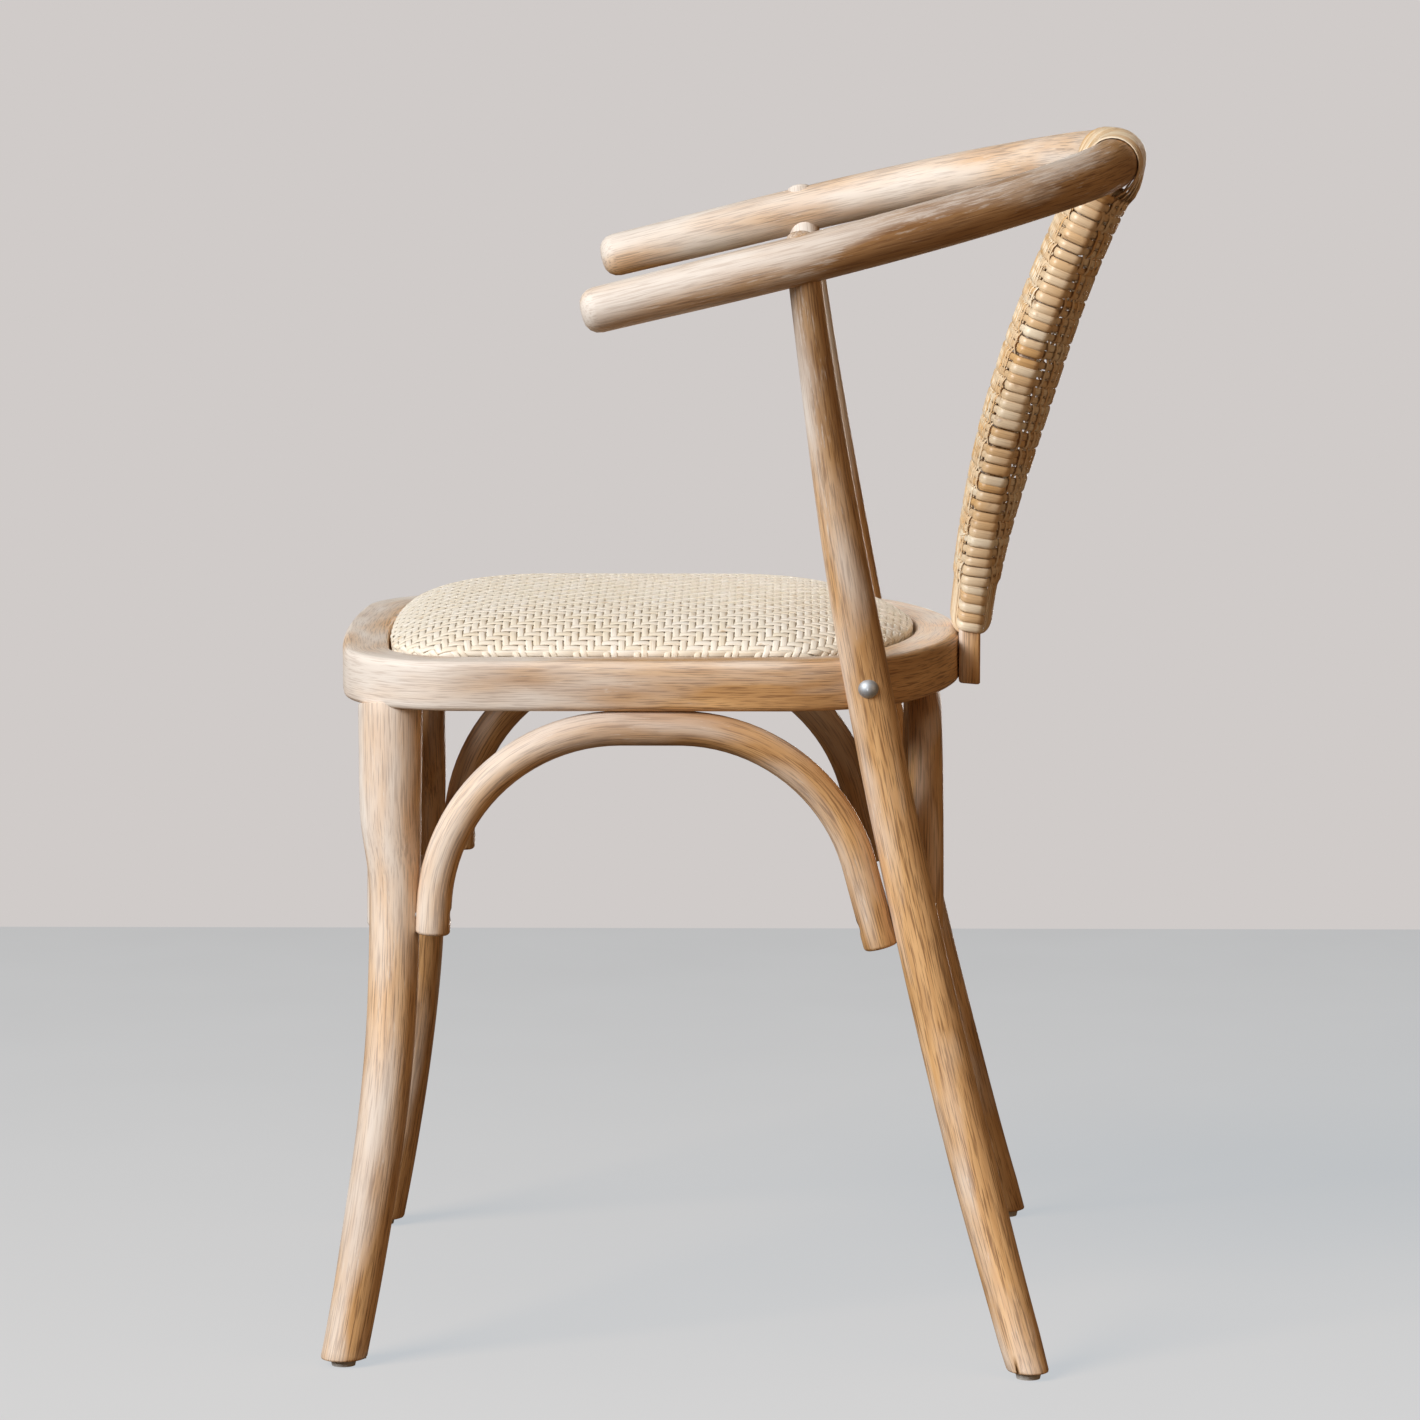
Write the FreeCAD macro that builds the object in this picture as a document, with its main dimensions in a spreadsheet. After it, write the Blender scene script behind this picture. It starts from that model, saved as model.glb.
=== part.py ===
import FreeCAD, Part

# Bentwood armchair with a woven cane seat and a woven wishbone splat.
# Millimetres: X across the chair, Y from front to back, Z up from the floor.
# The origin lies on the floor under the middle of the chair's outline.

import math
import os

import Sketcher
from FreeCAD import Placement, Rotation, Vector

SIZES = (
    ("fit_gap", 0.15, "gap between pieces that are fitted together"),
    ("soft_gap", 0.3, "gap round soft pieces"),
    ("seat_height", 450, "floor to the top of the seat frame"),
    ("seat_width", 380, "seat frame, side to side"),
    ("seat_depth", 407.5, "seat frame, front to back"),
    ("seat_front_reach", 261.5, "origin to the seat frame's front edge"),
    ("seat_front_corner", 80, "radius of the seat frame's front corners"),
    ("seat_rear_corner", 95, "radius of the seat frame's rear corners"),
    ("seat_front_bow", 5, "how far the seat's front bows out past its front corners' radius"),
    ("seat_back_bow", 23, "how far the seat's back bows out past its rear corners' radius"),
    ("band_width", 30, "seat frame's top face, outer edge to opening"),
    ("band_height", 32, "seat frame, top to bottom"),
    ("band_round", 6, "radius on the seat frame's outer edges"),
    ("rebate_width", 9, "ledge inside the seat frame that carries the seat board"),
    ("rebate_depth", 13, "seat frame's top down to that ledge"),
    ("seat_slit", 1.5, "slit between the seat frame and the cane"),
    ("board_thickness", 6, "plywood seat board"),
    ("cane_thickness", 2, "woven cane on the seat"),
    ("pad_wall", 9, "upright side of the seat's cane below its crown"),
    ("pad_crown", 24.5, "rise of the seat's crown above that side"),
    ("rail_diameter", 31, "back rail and arms"),
    ("arm_overhang", 49, "arm's axis out from the seat frame's side"),
    ("arm_length", 117, "straight arm ahead of the hoop"),
    ("rail_tilt", 13.7, "degrees that the rail rises towards the back"),
    ("rail_back_height", 761, "floor to the rail's axis at the back"),
    ("rail_back_overhang", 102, "rail's axis behind the seat frame's rear edge"),
    ("arm_tip_round", 9, "radius on the arms' ends"),
    ("post_diameter", 30, "rear post from the foot's bend to the seat"),
    ("post_top_diameter", 20.5, "rear post under the rail"),
    ("post_foot_diameter", 29, "rear post at the floor"),
    ("post_splay", 68, "rear foot's axis out from the seat frame's side"),
    ("post_kick", 39.5, "rear foot's axis behind the seat frame's rear edge"),
    ("post_setback", 63, "post's axis beside the seat frame, ahead of the frame's rear edge"),
    ("post_rail_setback", 105.5, "post's axis in the rail, ahead of the seat frame's rear edge"),
    ("post_let_in", 6, "depth that the post is let into the seat frame"),
    ("tenon_diameter", 13, "turned tenon through the rail"),
    ("tenon_stand", 3, "tenon's end above the rail"),
    ("tenon_round", 2.5, "radius on the tenon's end"),
    ("leg_inset", 38, "front leg's axis in from the seat frame's front and side"),
    ("leg_top_diameter", 40.5, "front leg under the seat frame"),
    ("leg_diameter", 33, "front leg below its neck"),
    ("leg_foot_diameter", 30, "front leg at the floor"),
    ("leg_collar", 62, "thick length of the front leg"),
    ("leg_neck", 60, "length over which the front leg slims"),
    ("leg_splay", 35, "front foot's axis out from the seat frame's side"),
    ("leg_foot_setback", 9, "front foot's axis behind the seat frame's front edge"),
    ("leg_sweep_height", 290, "height of the front leg's forward sweep"),
    ("leg_tenon_diameter", 22, "front leg's tenon in the seat frame"),
    ("leg_tenon_length", 14, "front leg's tenon above its shoulder"),
    ("brace_diameter", 22.5, "bent brace"),
    ("brace_end_height", 273, "floor to the braces' ends"),
    ("brace_rear_drop", 8, "side brace's rear end below its front end"),
    ("brace_lean", 4, "degrees that a brace leans at its end"),
    ("brace_rear_lean", 15, "degrees that a side brace leans at the post"),
    ("brace_flat", 4, "least straight run at a brace's top"),
    ("brace_tail", 22, "least straight run at a brace's end"),
    ("brace_cope", 0.5, "depth that a brace is hollowed to fit a leg"),
    ("front_brace_shift", 5, "front brace's axis ahead of the front legs'"),
    ("rear_brace_shift", 5, "rear brace's axis behind the posts'"),
    ("screw_diameter", 4, "wood screw's shank"),
    ("screw_head_diameter", 8, "wood screw's countersunk head"),
    ("screw_head_depth", 3, "height of that head"),
    ("screw_tip", 4, "length of the screw's point"),
    ("brace_screw_length", 30, "screw through a brace"),
    ("brace_screw_sink", 3, "depth of that screw's head below the brace's surface"),
    ("brace_screw_rise", 12.5, "end of a brace up to its screw"),
    ("seat_screw_length", 21, "screw through the ledge into the seat board"),
    ("seat_screw_sink", 1, "depth of that screw's head below the seat frame"),
    ("seat_screw_front", 130, "front pair of seat screws ahead of the origin"),
    ("seat_screw_rear", 12, "rear pair of seat screws behind the origin"),
    ("bolt_diameter", 6, "post bolt's shank"),
    ("bolt_length", 43, "post bolt under its head"),
    ("bolt_head_diameter", 13, "post bolt's dome head"),
    ("bolt_head_height", 5.5, "height of that head"),
    ("bolt_spot_depth", 1.5, "depth of the flat that seats the bolt's head"),
    ("insert_diameter", 10, "threaded insert for the post bolt"),
    ("insert_length", 13, "length of that insert"),
    ("stile_width", 18, "splat stile, across"),
    ("stile_depth", 14, "splat stile, front to back"),
    ("stile_foot_span", 72, "splat stiles at the seat, axis to axis"),
    ("stile_top_span", 114, "splat stiles at the rail, axis to axis"),
    ("stile_foot_length", 36, "straight foot of a splat stile"),
    ("stile_let_in", 2, "depth that the stile's foot is hollowed to fit the seat frame"),
    ("stile_bow", 16, "stile's bow off a straight line"),
    ("stile_tenon_diameter", 9, "stile's tenon in the rail"),
    ("stile_tenon_length", 10, "stile's tenon inside the rail"),
    ("stile_screw_length", 28, "screw through a stile's foot"),
    ("stile_screw_pitch", 16, "distance between the two screws of a foot"),
    ("stile_screw_sink", 0.5, "depth of that screw's head below the foot's back"),
    ("wrap_thickness", 2.5, "cane wound round a stile"),
    ("wrap_start", 4, "bare length of stile between its foot and the winding"),
    ("weave_thickness", 2.5, "woven face of the splat"),
    ("weave_foot_bulge", 2.5, "bulge of the woven faces at the foot"),
    ("weave_front_bulge", 6.5, "bulge of the woven front at half its height"),
    ("weave_back_bulge", 10.5, "bulge of the woven back at half its height"),
    ("weave_foot_curve", 1.5, "how far the splat's middle lies behind its sides at the foot"),
    ("rail_wrap_thickness", 3.3, "cane carried over the rail"),
    ("rail_wrap_span", 137, "width of that cane along the rail"),
    ("glide_diameter", 17, "foot glide where it meets the foot"),
    ("glide_base_diameter", 15, "foot glide where it meets the floor"),
    ("glide_height", 4.5, "foot glide"),
    ("glide_pin_diameter", 4, "pin that holds a glide in its foot"),
    ("glide_pin_length", 12, "length of that pin"),
)

# Crown of the seat: shares of its outline, and of its rise, from the edge to the middle.
CROWN_SHARES = (1.0, 0.99, 0.96, 0.91, 0.83, 0.71, 0.55, 0.35, 0.12)
CROWN_POWER = 4
CROWN_FULLNESS = 0.8
# Side of the seat pad is drawn in at its base to this share of its outline.
BASE_SHARE = 0.985
# Places along a bent piece where its section is drawn, as shares of its length.
POST_STATIONS = 9
STILE_STATIONS = 7
WEAVE_STATIONS = 7

ORIGIN = Vector(0, 0, 0)
ACROSS = Vector(1, 0, 0)
BACKWARD = Vector(0, 1, 0)
UPWARD = Vector(0, 0, 1)

doc = FreeCAD.newDocument("wishbone_chair")
sheet = doc.addObject("Spreadsheet::Sheet", "sizes")
for row, (alias, value, note) in enumerate(SIZES, start=1):
    sheet.set(f"A{row}", note)
    sheet.set(f"B{row}", str(value))
    sheet.setAlias(f"B{row}", alias)
doc.recompute()


def size(alias):
    return float(sheet.get(alias))


def piece(label, shape):
    made = doc.addObject("Part::Feature", label)
    made.Shape = shape
    made.Placement = Placement()
    return made


def carve(label, base, *tool_groups):
    """Cut groups of tools out of a piece of the document, one group after another."""
    for step, group_shapes in enumerate(tool_groups, start=1):
        last = step == len(tool_groups)
        cut = doc.addObject("Part::Cut", label if last else f"{label}_cut_{step}")
        cut.Base = base
        cut.Tool = piece(f"{label}_tools_{step}", joined(group_shapes))
        base = cut
    return base


def mirrored(label, source):
    mirror = doc.addObject("Part::Mirroring", label)
    mirror.Source = source
    mirror.Base = ORIGIN
    mirror.Normal = ACROSS
    return mirror


def group(label, members):
    compound = doc.addObject("Part::Compound", label)
    compound.Links = members
    return compound


def joined(shapes):
    first, rest = shapes[0], list(shapes[1:])
    return first.multiFuse(rest) if rest else first


def both_sides(shape):
    return [shape, shape.mirror(ORIGIN, ACROSS)]


def cylinder(radius, start, finish):
    run = finish - start
    return Part.makeCylinder(radius, run.Length, start, run)


def along(edges, distance):
    """Point and direction at a distance along a chain of edges."""
    for edge in edges[:-1]:
        if distance <= edge.Length:
            break
        distance -= edge.Length
    else:
        edge = edges[-1]
    place = edge.getParameterByLength(min(distance, edge.Length))
    return edge.valueAt(place), edge.tangentAt(place)


def at_height(edges, level):
    """Point of a rising or falling chain of edges at a height."""
    low, high = 0.0, sum(edge.Length for edge in edges)
    falling = along(edges, low)[0].z > along(edges, high)[0].z
    for _ in range(50):
        middle = (low + high) / 2
        if (along(edges, middle)[0].z > level) == falling:
            low = middle
        else:
            high = middle
    return along(edges, (low + high) / 2)[0]


def rod(edges, stations):
    """Round rod along a chain of edges, through (distance, radius) stations."""
    sections = []
    for distance, radius in stations:
        point, direction = along(edges, distance)
        circle = Part.Circle(point, direction, radius)
        circle.XAxis = BACKWARD
        sections.append(Part.Wire(circle.toShape()))
    return Part.makeLoft(sections, True, False)


def body_plane(body, role):
    return next(feature for feature in body.Origin.OriginFeatures if feature.Role == role)


def new_sketch(body, name, role):
    sketch = body.newObject("Sketcher::SketchObject", name)
    sketch.AttachmentSupport = [(body_plane(body, role), "")]
    sketch.MapMode = "FlatFace"
    return sketch


def bind(sketch, constraint, name, expression):
    index = sketch.addConstraint(constraint)
    sketch.renameConstraint(index, name)
    sketch.setExpression(f"Constraints.{name}", expression)


# Heights and places that several pieces share.
gap = size("fit_gap")
seat_top = size("seat_height")
seat_under = seat_top - size("band_height")
seat_half = size("seat_width") / 2
seat_front = -size("seat_front_reach")
seat_rear = seat_front + size("seat_depth")
ledge_level = seat_top - size("rebate_depth")
bolt_level = seat_top - size("band_height") / 2
foot_level = size("glide_height")
rail_round = size("rail_diameter") / 2
rail_radius = seat_half + size("arm_overhang")
wrap_round = rail_round + gap + size("rail_wrap_thickness")
tilt = math.radians(size("rail_tilt"))
rail_centre = Vector(
    0,
    seat_rear + size("rail_back_overhang") - rail_radius * math.cos(tilt),
    size("rail_back_height") - rail_radius * math.sin(tilt),
)
rail_place = Placement(rail_centre, Rotation(ACROSS, size("rail_tilt")))


def bow_radius(across, corner, bow):
    """Radius of a bowed side that runs smoothly into two corners, at a distance across."""
    return (across**2 + (corner + bow) ** 2 - corner**2) / (2 * bow)


def seat_outline_edges(inset):
    """Seat frame's outline, moved in by an inset, as lines and arcs on the floor plane."""
    half = seat_half - inset
    front = seat_front + inset
    rear = seat_rear - inset
    front_corner = size("seat_front_corner") - inset
    rear_corner = size("seat_rear_corner") - inset
    turn_x = half - rear_corner
    turn_y = rear - rear_corner - size("seat_back_bow")
    back_radius = bow_radius(turn_x, rear_corner, size("seat_back_bow"))
    back_y = rear - back_radius
    swing = math.atan2(turn_y - back_y, turn_x)
    corner_x = half - front_corner
    corner_y = front + front_corner + size("seat_front_bow")
    front_radius = bow_radius(corner_x, front_corner, size("seat_front_bow"))
    front_y = front + front_radius
    front_swing = math.atan2(corner_y - front_y, corner_x)

    def arc(x, y, radius, start, finish):
        circle = Part.Circle(Vector(x, y, 0), UPWARD, radius)
        return Part.ArcOfCircle(circle, start, finish)

    def line(start, finish):
        return Part.LineSegment(Vector(*start, 0), Vector(*finish, 0))

    return [
        arc(0, front_y, front_radius, -math.pi - front_swing, front_swing),
        arc(corner_x, corner_y, front_corner, front_swing, 0),
        line((half, corner_y), (half, turn_y)),
        arc(turn_x, turn_y, rear_corner, 0, swing),
        arc(0, back_y, back_radius, swing, math.pi - swing),
        arc(-turn_x, turn_y, rear_corner, math.pi - swing, math.pi),
        line((-half, turn_y), (-half, corner_y)),
        arc(-corner_x, corner_y, front_corner, math.pi, math.pi - front_swing),
    ]


def seat_outline(inset, level, share=1.0):
    wire = Part.Wire([edge.toShape() for edge in seat_outline_edges(inset)])
    middle = Vector(0, (seat_front + seat_rear) / 2, 0)
    wire = wire.scaled(share, middle)
    wire.translate(Vector(0, 0, level))
    return wire


def seat_block(inset, low, high):
    return Part.Face(seat_outline(inset, low)).extrude(Vector(0, 0, high - low))


def seat_sketch(body, name, inset, inset_expression, level_expression):
    """Sketch of the seat's outline, with its corners and sides bound to the sheet."""
    sketch = new_sketch(body, name, "XY_Plane")
    sketch.setExpression("AttachmentOffset.Base.z", level_expression)
    edges = seat_outline_edges(inset)
    sketch.addGeometry(edges)
    for index in range(len(edges)):
        following = (index + 1) % len(edges)
        sketch.addConstraint(Sketcher.Constraint("Tangent", index, 2, following, 1))
    right_front, right_side, right_rear = 1, 2, 3
    sketch.addConstraint(Sketcher.Constraint("Vertical", right_side))
    front_corner = size("seat_front_corner") - inset
    rear_corner = size("seat_rear_corner") - inset
    half = seat_half - inset
    bind(sketch, Sketcher.Constraint("Radius", right_front, front_corner), "front_corner",
         f"sizes.seat_front_corner - ({inset_expression})")
    bind(sketch, Sketcher.Constraint("Radius", right_rear, rear_corner), "rear_corner",
         f"sizes.seat_rear_corner - ({inset_expression})")
    bind(sketch, Sketcher.Constraint("DistanceX", -1, 1, right_side, 1, half), "half_width",
         f"sizes.seat_width / 2 - ({inset_expression})")
    return sketch


def edges_at_levels(shape, levels):
    """Names of the edges that lie flat at one of the levels."""
    names = []
    for index, edge in enumerate(shape.Edges, start=1):
        box = edge.BoundBox
        flat = box.ZLength < gap
        if flat and any(abs(box.ZMax - level) < gap for level in levels):
            names.append(f"Edge{index}")
    return names


def build_seat_frame(*cuts):
    """Bent seat ring, rounded outside, with a ledge inside and the joints cut into it."""
    body = doc.addObject("PartDesign::Body", "seat_ring")
    outline = seat_sketch(body, "ring_outline", 0, "0", "sizes.seat_height - sizes.band_height")
    blank = body.newObject("PartDesign::Pad", "ring_blank")
    blank.Profile = outline
    blank.setExpression("Length", "sizes.band_height")
    doc.recompute()
    rounded = body.newObject("PartDesign::Fillet", "ring_round")
    rounded.Base = (blank, edges_at_levels(blank.Shape, (seat_under, seat_top)))
    rounded.setExpression("Radius", "sizes.band_round")
    doc.recompute()
    opening_inset = size("band_width")
    opening = seat_sketch(body, "ring_opening", opening_inset, "sizes.band_width", "sizes.seat_height")
    rebate = body.newObject("PartDesign::Pocket", "ring_rebate")
    rebate.Profile = opening
    rebate.setExpression("Length", "sizes.rebate_depth")
    doc.recompute()
    through_inset = opening_inset + size("rebate_width")
    through = seat_sketch(
        body, "ring_through", through_inset, "sizes.band_width + sizes.rebate_width", "sizes.seat_height"
    )
    hole = body.newObject("PartDesign::Pocket", "ring_hole")
    hole.Profile = through
    hole.setExpression("Length", "sizes.band_height")
    doc.recompute()
    check_cut(rounded, rebate, hole)
    return carve("seat_frame", body, *cuts)


def check_cut(*features):
    """Each pocket has to leave less wood than there was before it."""
    volumes = [feature.Shape.Volume for feature in features]
    if volumes != sorted(volumes, reverse=True) or len(set(volumes)) < len(volumes):
        raise RuntimeError(f"a pocket cuts nothing: {volumes}")


def build_seat_board(cuts):
    body = doc.addObject("PartDesign::Body", "board_blank")
    outline = seat_sketch(
        body,
        "board_outline",
        size("band_width") + size("seat_slit"),
        "sizes.band_width + sizes.seat_slit",
        "sizes.seat_height - sizes.rebate_depth",
    )
    pad = body.newObject("PartDesign::Pad", "board_pad")
    pad.Profile = outline
    pad.setExpression("Length", "sizes.board_thickness")
    return carve("seat_board", body, cuts)


def crowned_pad(inset, base, lowered):
    """Cushion form: sides drawn in at the base, crown that swells to the middle."""
    edge = ledge_level + size("board_thickness") + size("soft_gap") + size("pad_wall") - lowered
    rise = size("pad_crown")
    sections = [seat_outline(inset, base, BASE_SHARE)]
    for share in CROWN_SHARES:
        level = edge + rise * (1 - share**CROWN_POWER) ** CROWN_FULLNESS
        sections.append(seat_outline(inset, level, share))
    return Part.makeLoft(sections, True, True)


def build_seat_pad():
    soft = size("soft_gap")
    base = ledge_level + size("board_thickness") + soft
    outer_inset = size("band_width") + size("seat_slit")
    skin = size("cane_thickness")
    outside = crowned_pad(outer_inset, base, 0)
    hollow = crowned_pad(outer_inset + skin, base, skin)
    piece("seat_weave", outside.cut(hollow))
    piece("seat_padding", crowned_pad(outer_inset + skin + soft, base, skin + soft))


def seat_side_x(y):
    """Half width of the seat frame beside its rear corner."""
    rear_corner = size("seat_rear_corner")
    turn_y = seat_rear - rear_corner - size("seat_back_bow")
    drop = max(0.0, y - turn_y)
    return seat_half - rear_corner + math.sqrt(rear_corner**2 - drop**2)


def rail_point(across):
    """Point of the rail's axis on the hoop, at a distance from the middle."""
    reach = math.sqrt(rail_radius ** 2 - across**2)
    return rail_place.multVec(Vector(across, reach, 0))


def rail_point_at(y):
    """Point of the rail's axis on the left, at a distance behind the origin."""
    reach = (y - rail_centre.y) / math.cos(tilt)
    across = math.sqrt(rail_radius ** 2 - max(reach, 0.0) ** 2)
    return rail_place.multVec(Vector(across, reach, 0))


def rail_ring(radius):
    """Full ring round the hoop's axis, as thick as asked, to cut other pieces to fit."""
    ring = Part.makeTorus(rail_radius, radius)
    ring.Placement = rail_place
    return ring


def build_back_rail(*cuts):
    """Arms and back in one bent rod: a straight arm, a half circle and a straight arm."""
    body = doc.addObject("PartDesign::Body", "rail_blank")
    radius = rail_radius
    arm = size("arm_length")
    hoop_expression = "sizes.seat_width / 2 + sizes.arm_overhang"
    path = new_sketch(body, "rail_path", "XY_Plane")
    hoop = Part.ArcOfCircle(Part.Circle(ORIGIN, UPWARD, radius), 0, math.pi)
    path.addGeometry([
        Part.LineSegment(Vector(radius, -arm, 0), Vector(radius, 0, 0)),
        hoop,
        Part.LineSegment(Vector(-radius, 0, 0), Vector(-radius, -arm, 0)),
    ])
    left_arm, bend, right_arm = 0, 1, 2
    path.addConstraint(Sketcher.Constraint("Tangent", left_arm, 2, bend, 1))
    path.addConstraint(Sketcher.Constraint("Tangent", bend, 2, right_arm, 1))
    path.addConstraint(Sketcher.Constraint("Coincident", bend, 3, -1, 1))
    path.addConstraint(Sketcher.Constraint("Vertical", left_arm))
    path.addConstraint(Sketcher.Constraint("Equal", left_arm, right_arm))
    bind(path, Sketcher.Constraint("Radius", bend, radius), "hoop_radius", hoop_expression)
    bind(path, Sketcher.Constraint("Distance", left_arm, arm), "arm_length", "sizes.arm_length")
    profile = new_sketch(body, "rail_profile", "XZ_Plane")
    profile.setExpression("AttachmentOffset.Base.z", "sizes.arm_length")
    profile.addGeometry(Part.Circle(Vector(radius, 0, 0), UPWARD, rail_round))
    bind(profile, Sketcher.Constraint("DistanceX", -1, 1, 0, 3, radius), "place", hoop_expression)
    profile.addConstraint(Sketcher.Constraint("PointOnObject", 0, 3, -1))
    bind(profile, Sketcher.Constraint("Diameter", 0, 2 * rail_round), "thickness", "sizes.rail_diameter")
    doc.recompute()
    pipe = body.newObject("PartDesign::AdditivePipe", "rail_pipe")
    pipe.Profile = profile
    pipe.Spine = (path, ["Edge1", "Edge2", "Edge3"])
    doc.recompute()
    ends = [
        f"Edge{index}"
        for index, edge in enumerate(pipe.Shape.Edges, start=1)
        if edge.BoundBox.YMax < gap - arm
    ]
    rounded = body.newObject("PartDesign::Fillet", "rail_tips")
    rounded.Base = (pipe, ends)
    rounded.setExpression("Radius", "sizes.arm_tip_round")
    body.Placement = rail_place
    body.setExpression("Placement.Rotation.Angle", "sizes.rail_tilt")
    return carve("back_rail", body, *cuts)


# Rear posts: one arc through the foot, the place beside the seat and the rail.
post_foot = Vector(seat_half + size("post_splay"), seat_rear + size("post_kick"), foot_level)
post_waist_y = seat_rear - size("post_setback")
post_waist_x = seat_side_x(post_waist_y) + size("post_diameter") / 2 - size("post_let_in")
post_waist = Vector(post_waist_x, post_waist_y, bolt_level)
post_head = rail_point_at(seat_rear - size("post_rail_setback"))
post_path = [Part.Arc(post_foot, post_waist, post_head).toShape()]


def post_radius(point):
    """Even below the seat's top, then slimmer up to the rail."""
    full = size("post_diameter") / 2
    if point.z > seat_top:
        share = (point.z - seat_top) / (post_head.z - seat_top)
        return full + (size("post_top_diameter") / 2 - full) * share
    share = min(1.0, 3 * point.z / seat_top)
    foot = size("post_foot_diameter") / 2
    return foot + (full - foot) * share


def post_rod(grow):
    length = post_path[0].Length
    stations = []
    for step in range(POST_STATIONS):
        distance = length * step / (POST_STATIONS - 1)
        stations.append((distance, post_radius(along(post_path, distance)[0]) + grow))
    return rod(post_path, stations)


def post_tenon(grow, stand):
    """Turned tenon from inside the post through the rail."""
    point, direction = along(post_path, post_path[0].Length)
    return cylinder(
        size("tenon_diameter") / 2 + grow,
        point - direction * (2 * rail_round),
        point + direction * (rail_round + stand),
    )


def build_left_post(*cuts):
    stem = post_rod(0).cut(rail_ring(rail_round + gap))
    stem = max(stem.Solids, key=lambda solid: solid.Volume)
    tenon = post_tenon(0, size("tenon_stand"))
    far_end = along(post_path, post_path[0].Length)[0]
    end_edge = max(tenon.Edges, key=lambda edge: (edge.CenterOfMass - far_end).z)
    tenon = tenon.makeFillet(size("tenon_round"), [end_edge])
    return carve("left_rear_post", piece("post_stem", stem.fuse(tenon)), *cuts)


# Front legs: straight down from the seat frame with an outward lean, then a forward sweep.
leg_top = Vector(seat_half - size("leg_inset"), seat_front + size("leg_inset"), seat_under)
leg_foot = Vector(seat_half + size("leg_splay"), seat_front + size("leg_foot_setback"), foot_level)
leg_lean = (leg_foot.x - leg_top.x) / (leg_top.z - leg_foot.z)
leg_down = Vector(leg_lean, 0, -1).normalize()
leg_bend = leg_top + leg_down * ((leg_top.z - size("leg_sweep_height")) / -leg_down.z)
sweep_run = (leg_bend.z - leg_foot.z) / -leg_down.z
sweep_side = leg_top.y - leg_foot.y
sweep_radius = (sweep_run**2 + sweep_side**2) / (2 * sweep_side)
sweep_half_turn = math.asin(sweep_run / sweep_radius) / 2
leg_middle = (
    leg_bend
    + leg_down * (sweep_radius * math.sin(sweep_half_turn))
    - BACKWARD * (sweep_radius * (1 - math.cos(sweep_half_turn)))
)
leg_above = leg_top - leg_down * size("leg_top_diameter")
leg_path = [
    Part.LineSegment(leg_above, leg_bend).toShape(),
    Part.Arc(leg_bend, leg_middle, leg_foot).toShape(),
]


def leg_rod(grow):
    """Thick collar under the seat, a neck, then an even leg that slims to its foot."""
    start = (leg_top - leg_above).Length
    finish = sum(edge.Length for edge in leg_path)
    thick = size("leg_top_diameter") / 2 + grow
    slim = size("leg_diameter") / 2 + grow
    foot = size("leg_foot_diameter") / 2 + grow
    collar = start + size("leg_collar")
    neck = collar + size("leg_neck")
    rest = finish - neck
    upper = rod(leg_path, [(0, thick), (start, thick), (collar - start / 2, thick), (collar, thick)])
    throat = rod(leg_path, [
        (collar, thick),
        (collar + size("leg_neck") / 4, thick + (slim - thick) * 0.16),
        (collar + size("leg_neck") / 2, (thick + slim) / 2),
        (neck - size("leg_neck") / 4, slim + (thick - slim) * 0.16),
        (neck, slim),
    ])
    lower = rod(leg_path, [
        (neck, slim),
        (neck + rest / 4, slim),
        (neck + rest / 2, slim),
        (neck + rest * 3 / 4, (slim * 2 + foot) / 3),
        (finish, foot),
    ])
    return joined([upper, throat, lower])


def leg_tenon(grow, length):
    start = leg_top - UPWARD * size("leg_tenon_length")
    return cylinder(size("leg_tenon_diameter") / 2 + grow, start, leg_top + UPWARD * length)


def build_left_leg(*cuts):
    stem = leg_rod(0)
    reach = 4 * size("leg_top_diameter")
    above = Part.makeBox(reach, reach, reach, leg_top - Vector(reach / 2, reach / 2, 0))
    stem = stem.cut(above).fuse(leg_tenon(0, size("leg_tenon_length")))
    return carve("left_front_leg", piece("leg_stem", stem), *cuts)


# Braces: their ends lie against the legs at one height, and their tops under the seat frame.
brace_round = size("brace_diameter") / 2
brace_end = size("brace_end_height")
brace_rear_end = brace_end - size("brace_rear_drop")
brace_top = seat_under - brace_round - gap
leg_at_brace = at_height(leg_path, brace_end)
post_at_brace = at_height(post_path, brace_end)
post_at_side_brace = at_height(post_path, brace_rear_end)
leg_reach = size("leg_diameter") / 2 + brace_round - size("brace_cope")
post_reach = size("post_diameter") / 2 + brace_round - size("brace_cope")
side_brace_x = (leg_at_brace.x + post_at_side_brace.x) / 2
side_brace_front = leg_at_brace.y + leg_reach
side_brace_rear = post_at_side_brace.y - post_reach
front_brace_y = leg_at_brace.y - size("front_brace_shift")
front_brace_half = leg_at_brace.x - leg_reach
rear_brace_y = post_at_brace.y + size("rear_brace_shift")
rear_brace_half = post_at_brace.x - post_reach


def arch_radius(ends):
    """Largest bend that leaves the straight runs at the arch's top and ends."""
    span = ends[1][0] - ends[0][0] - size("brace_flat")
    share = 0.0
    limits = []
    for _, level, lean in ends:
        rise = brace_top - level
        span -= rise * math.tan(lean)
        share += math.cos(lean) - (1 - math.sin(lean)) * math.tan(lean)
        limits.append((rise - size("brace_tail")) / (1 - math.sin(lean)))
    return min(span / share, *limits)


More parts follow.
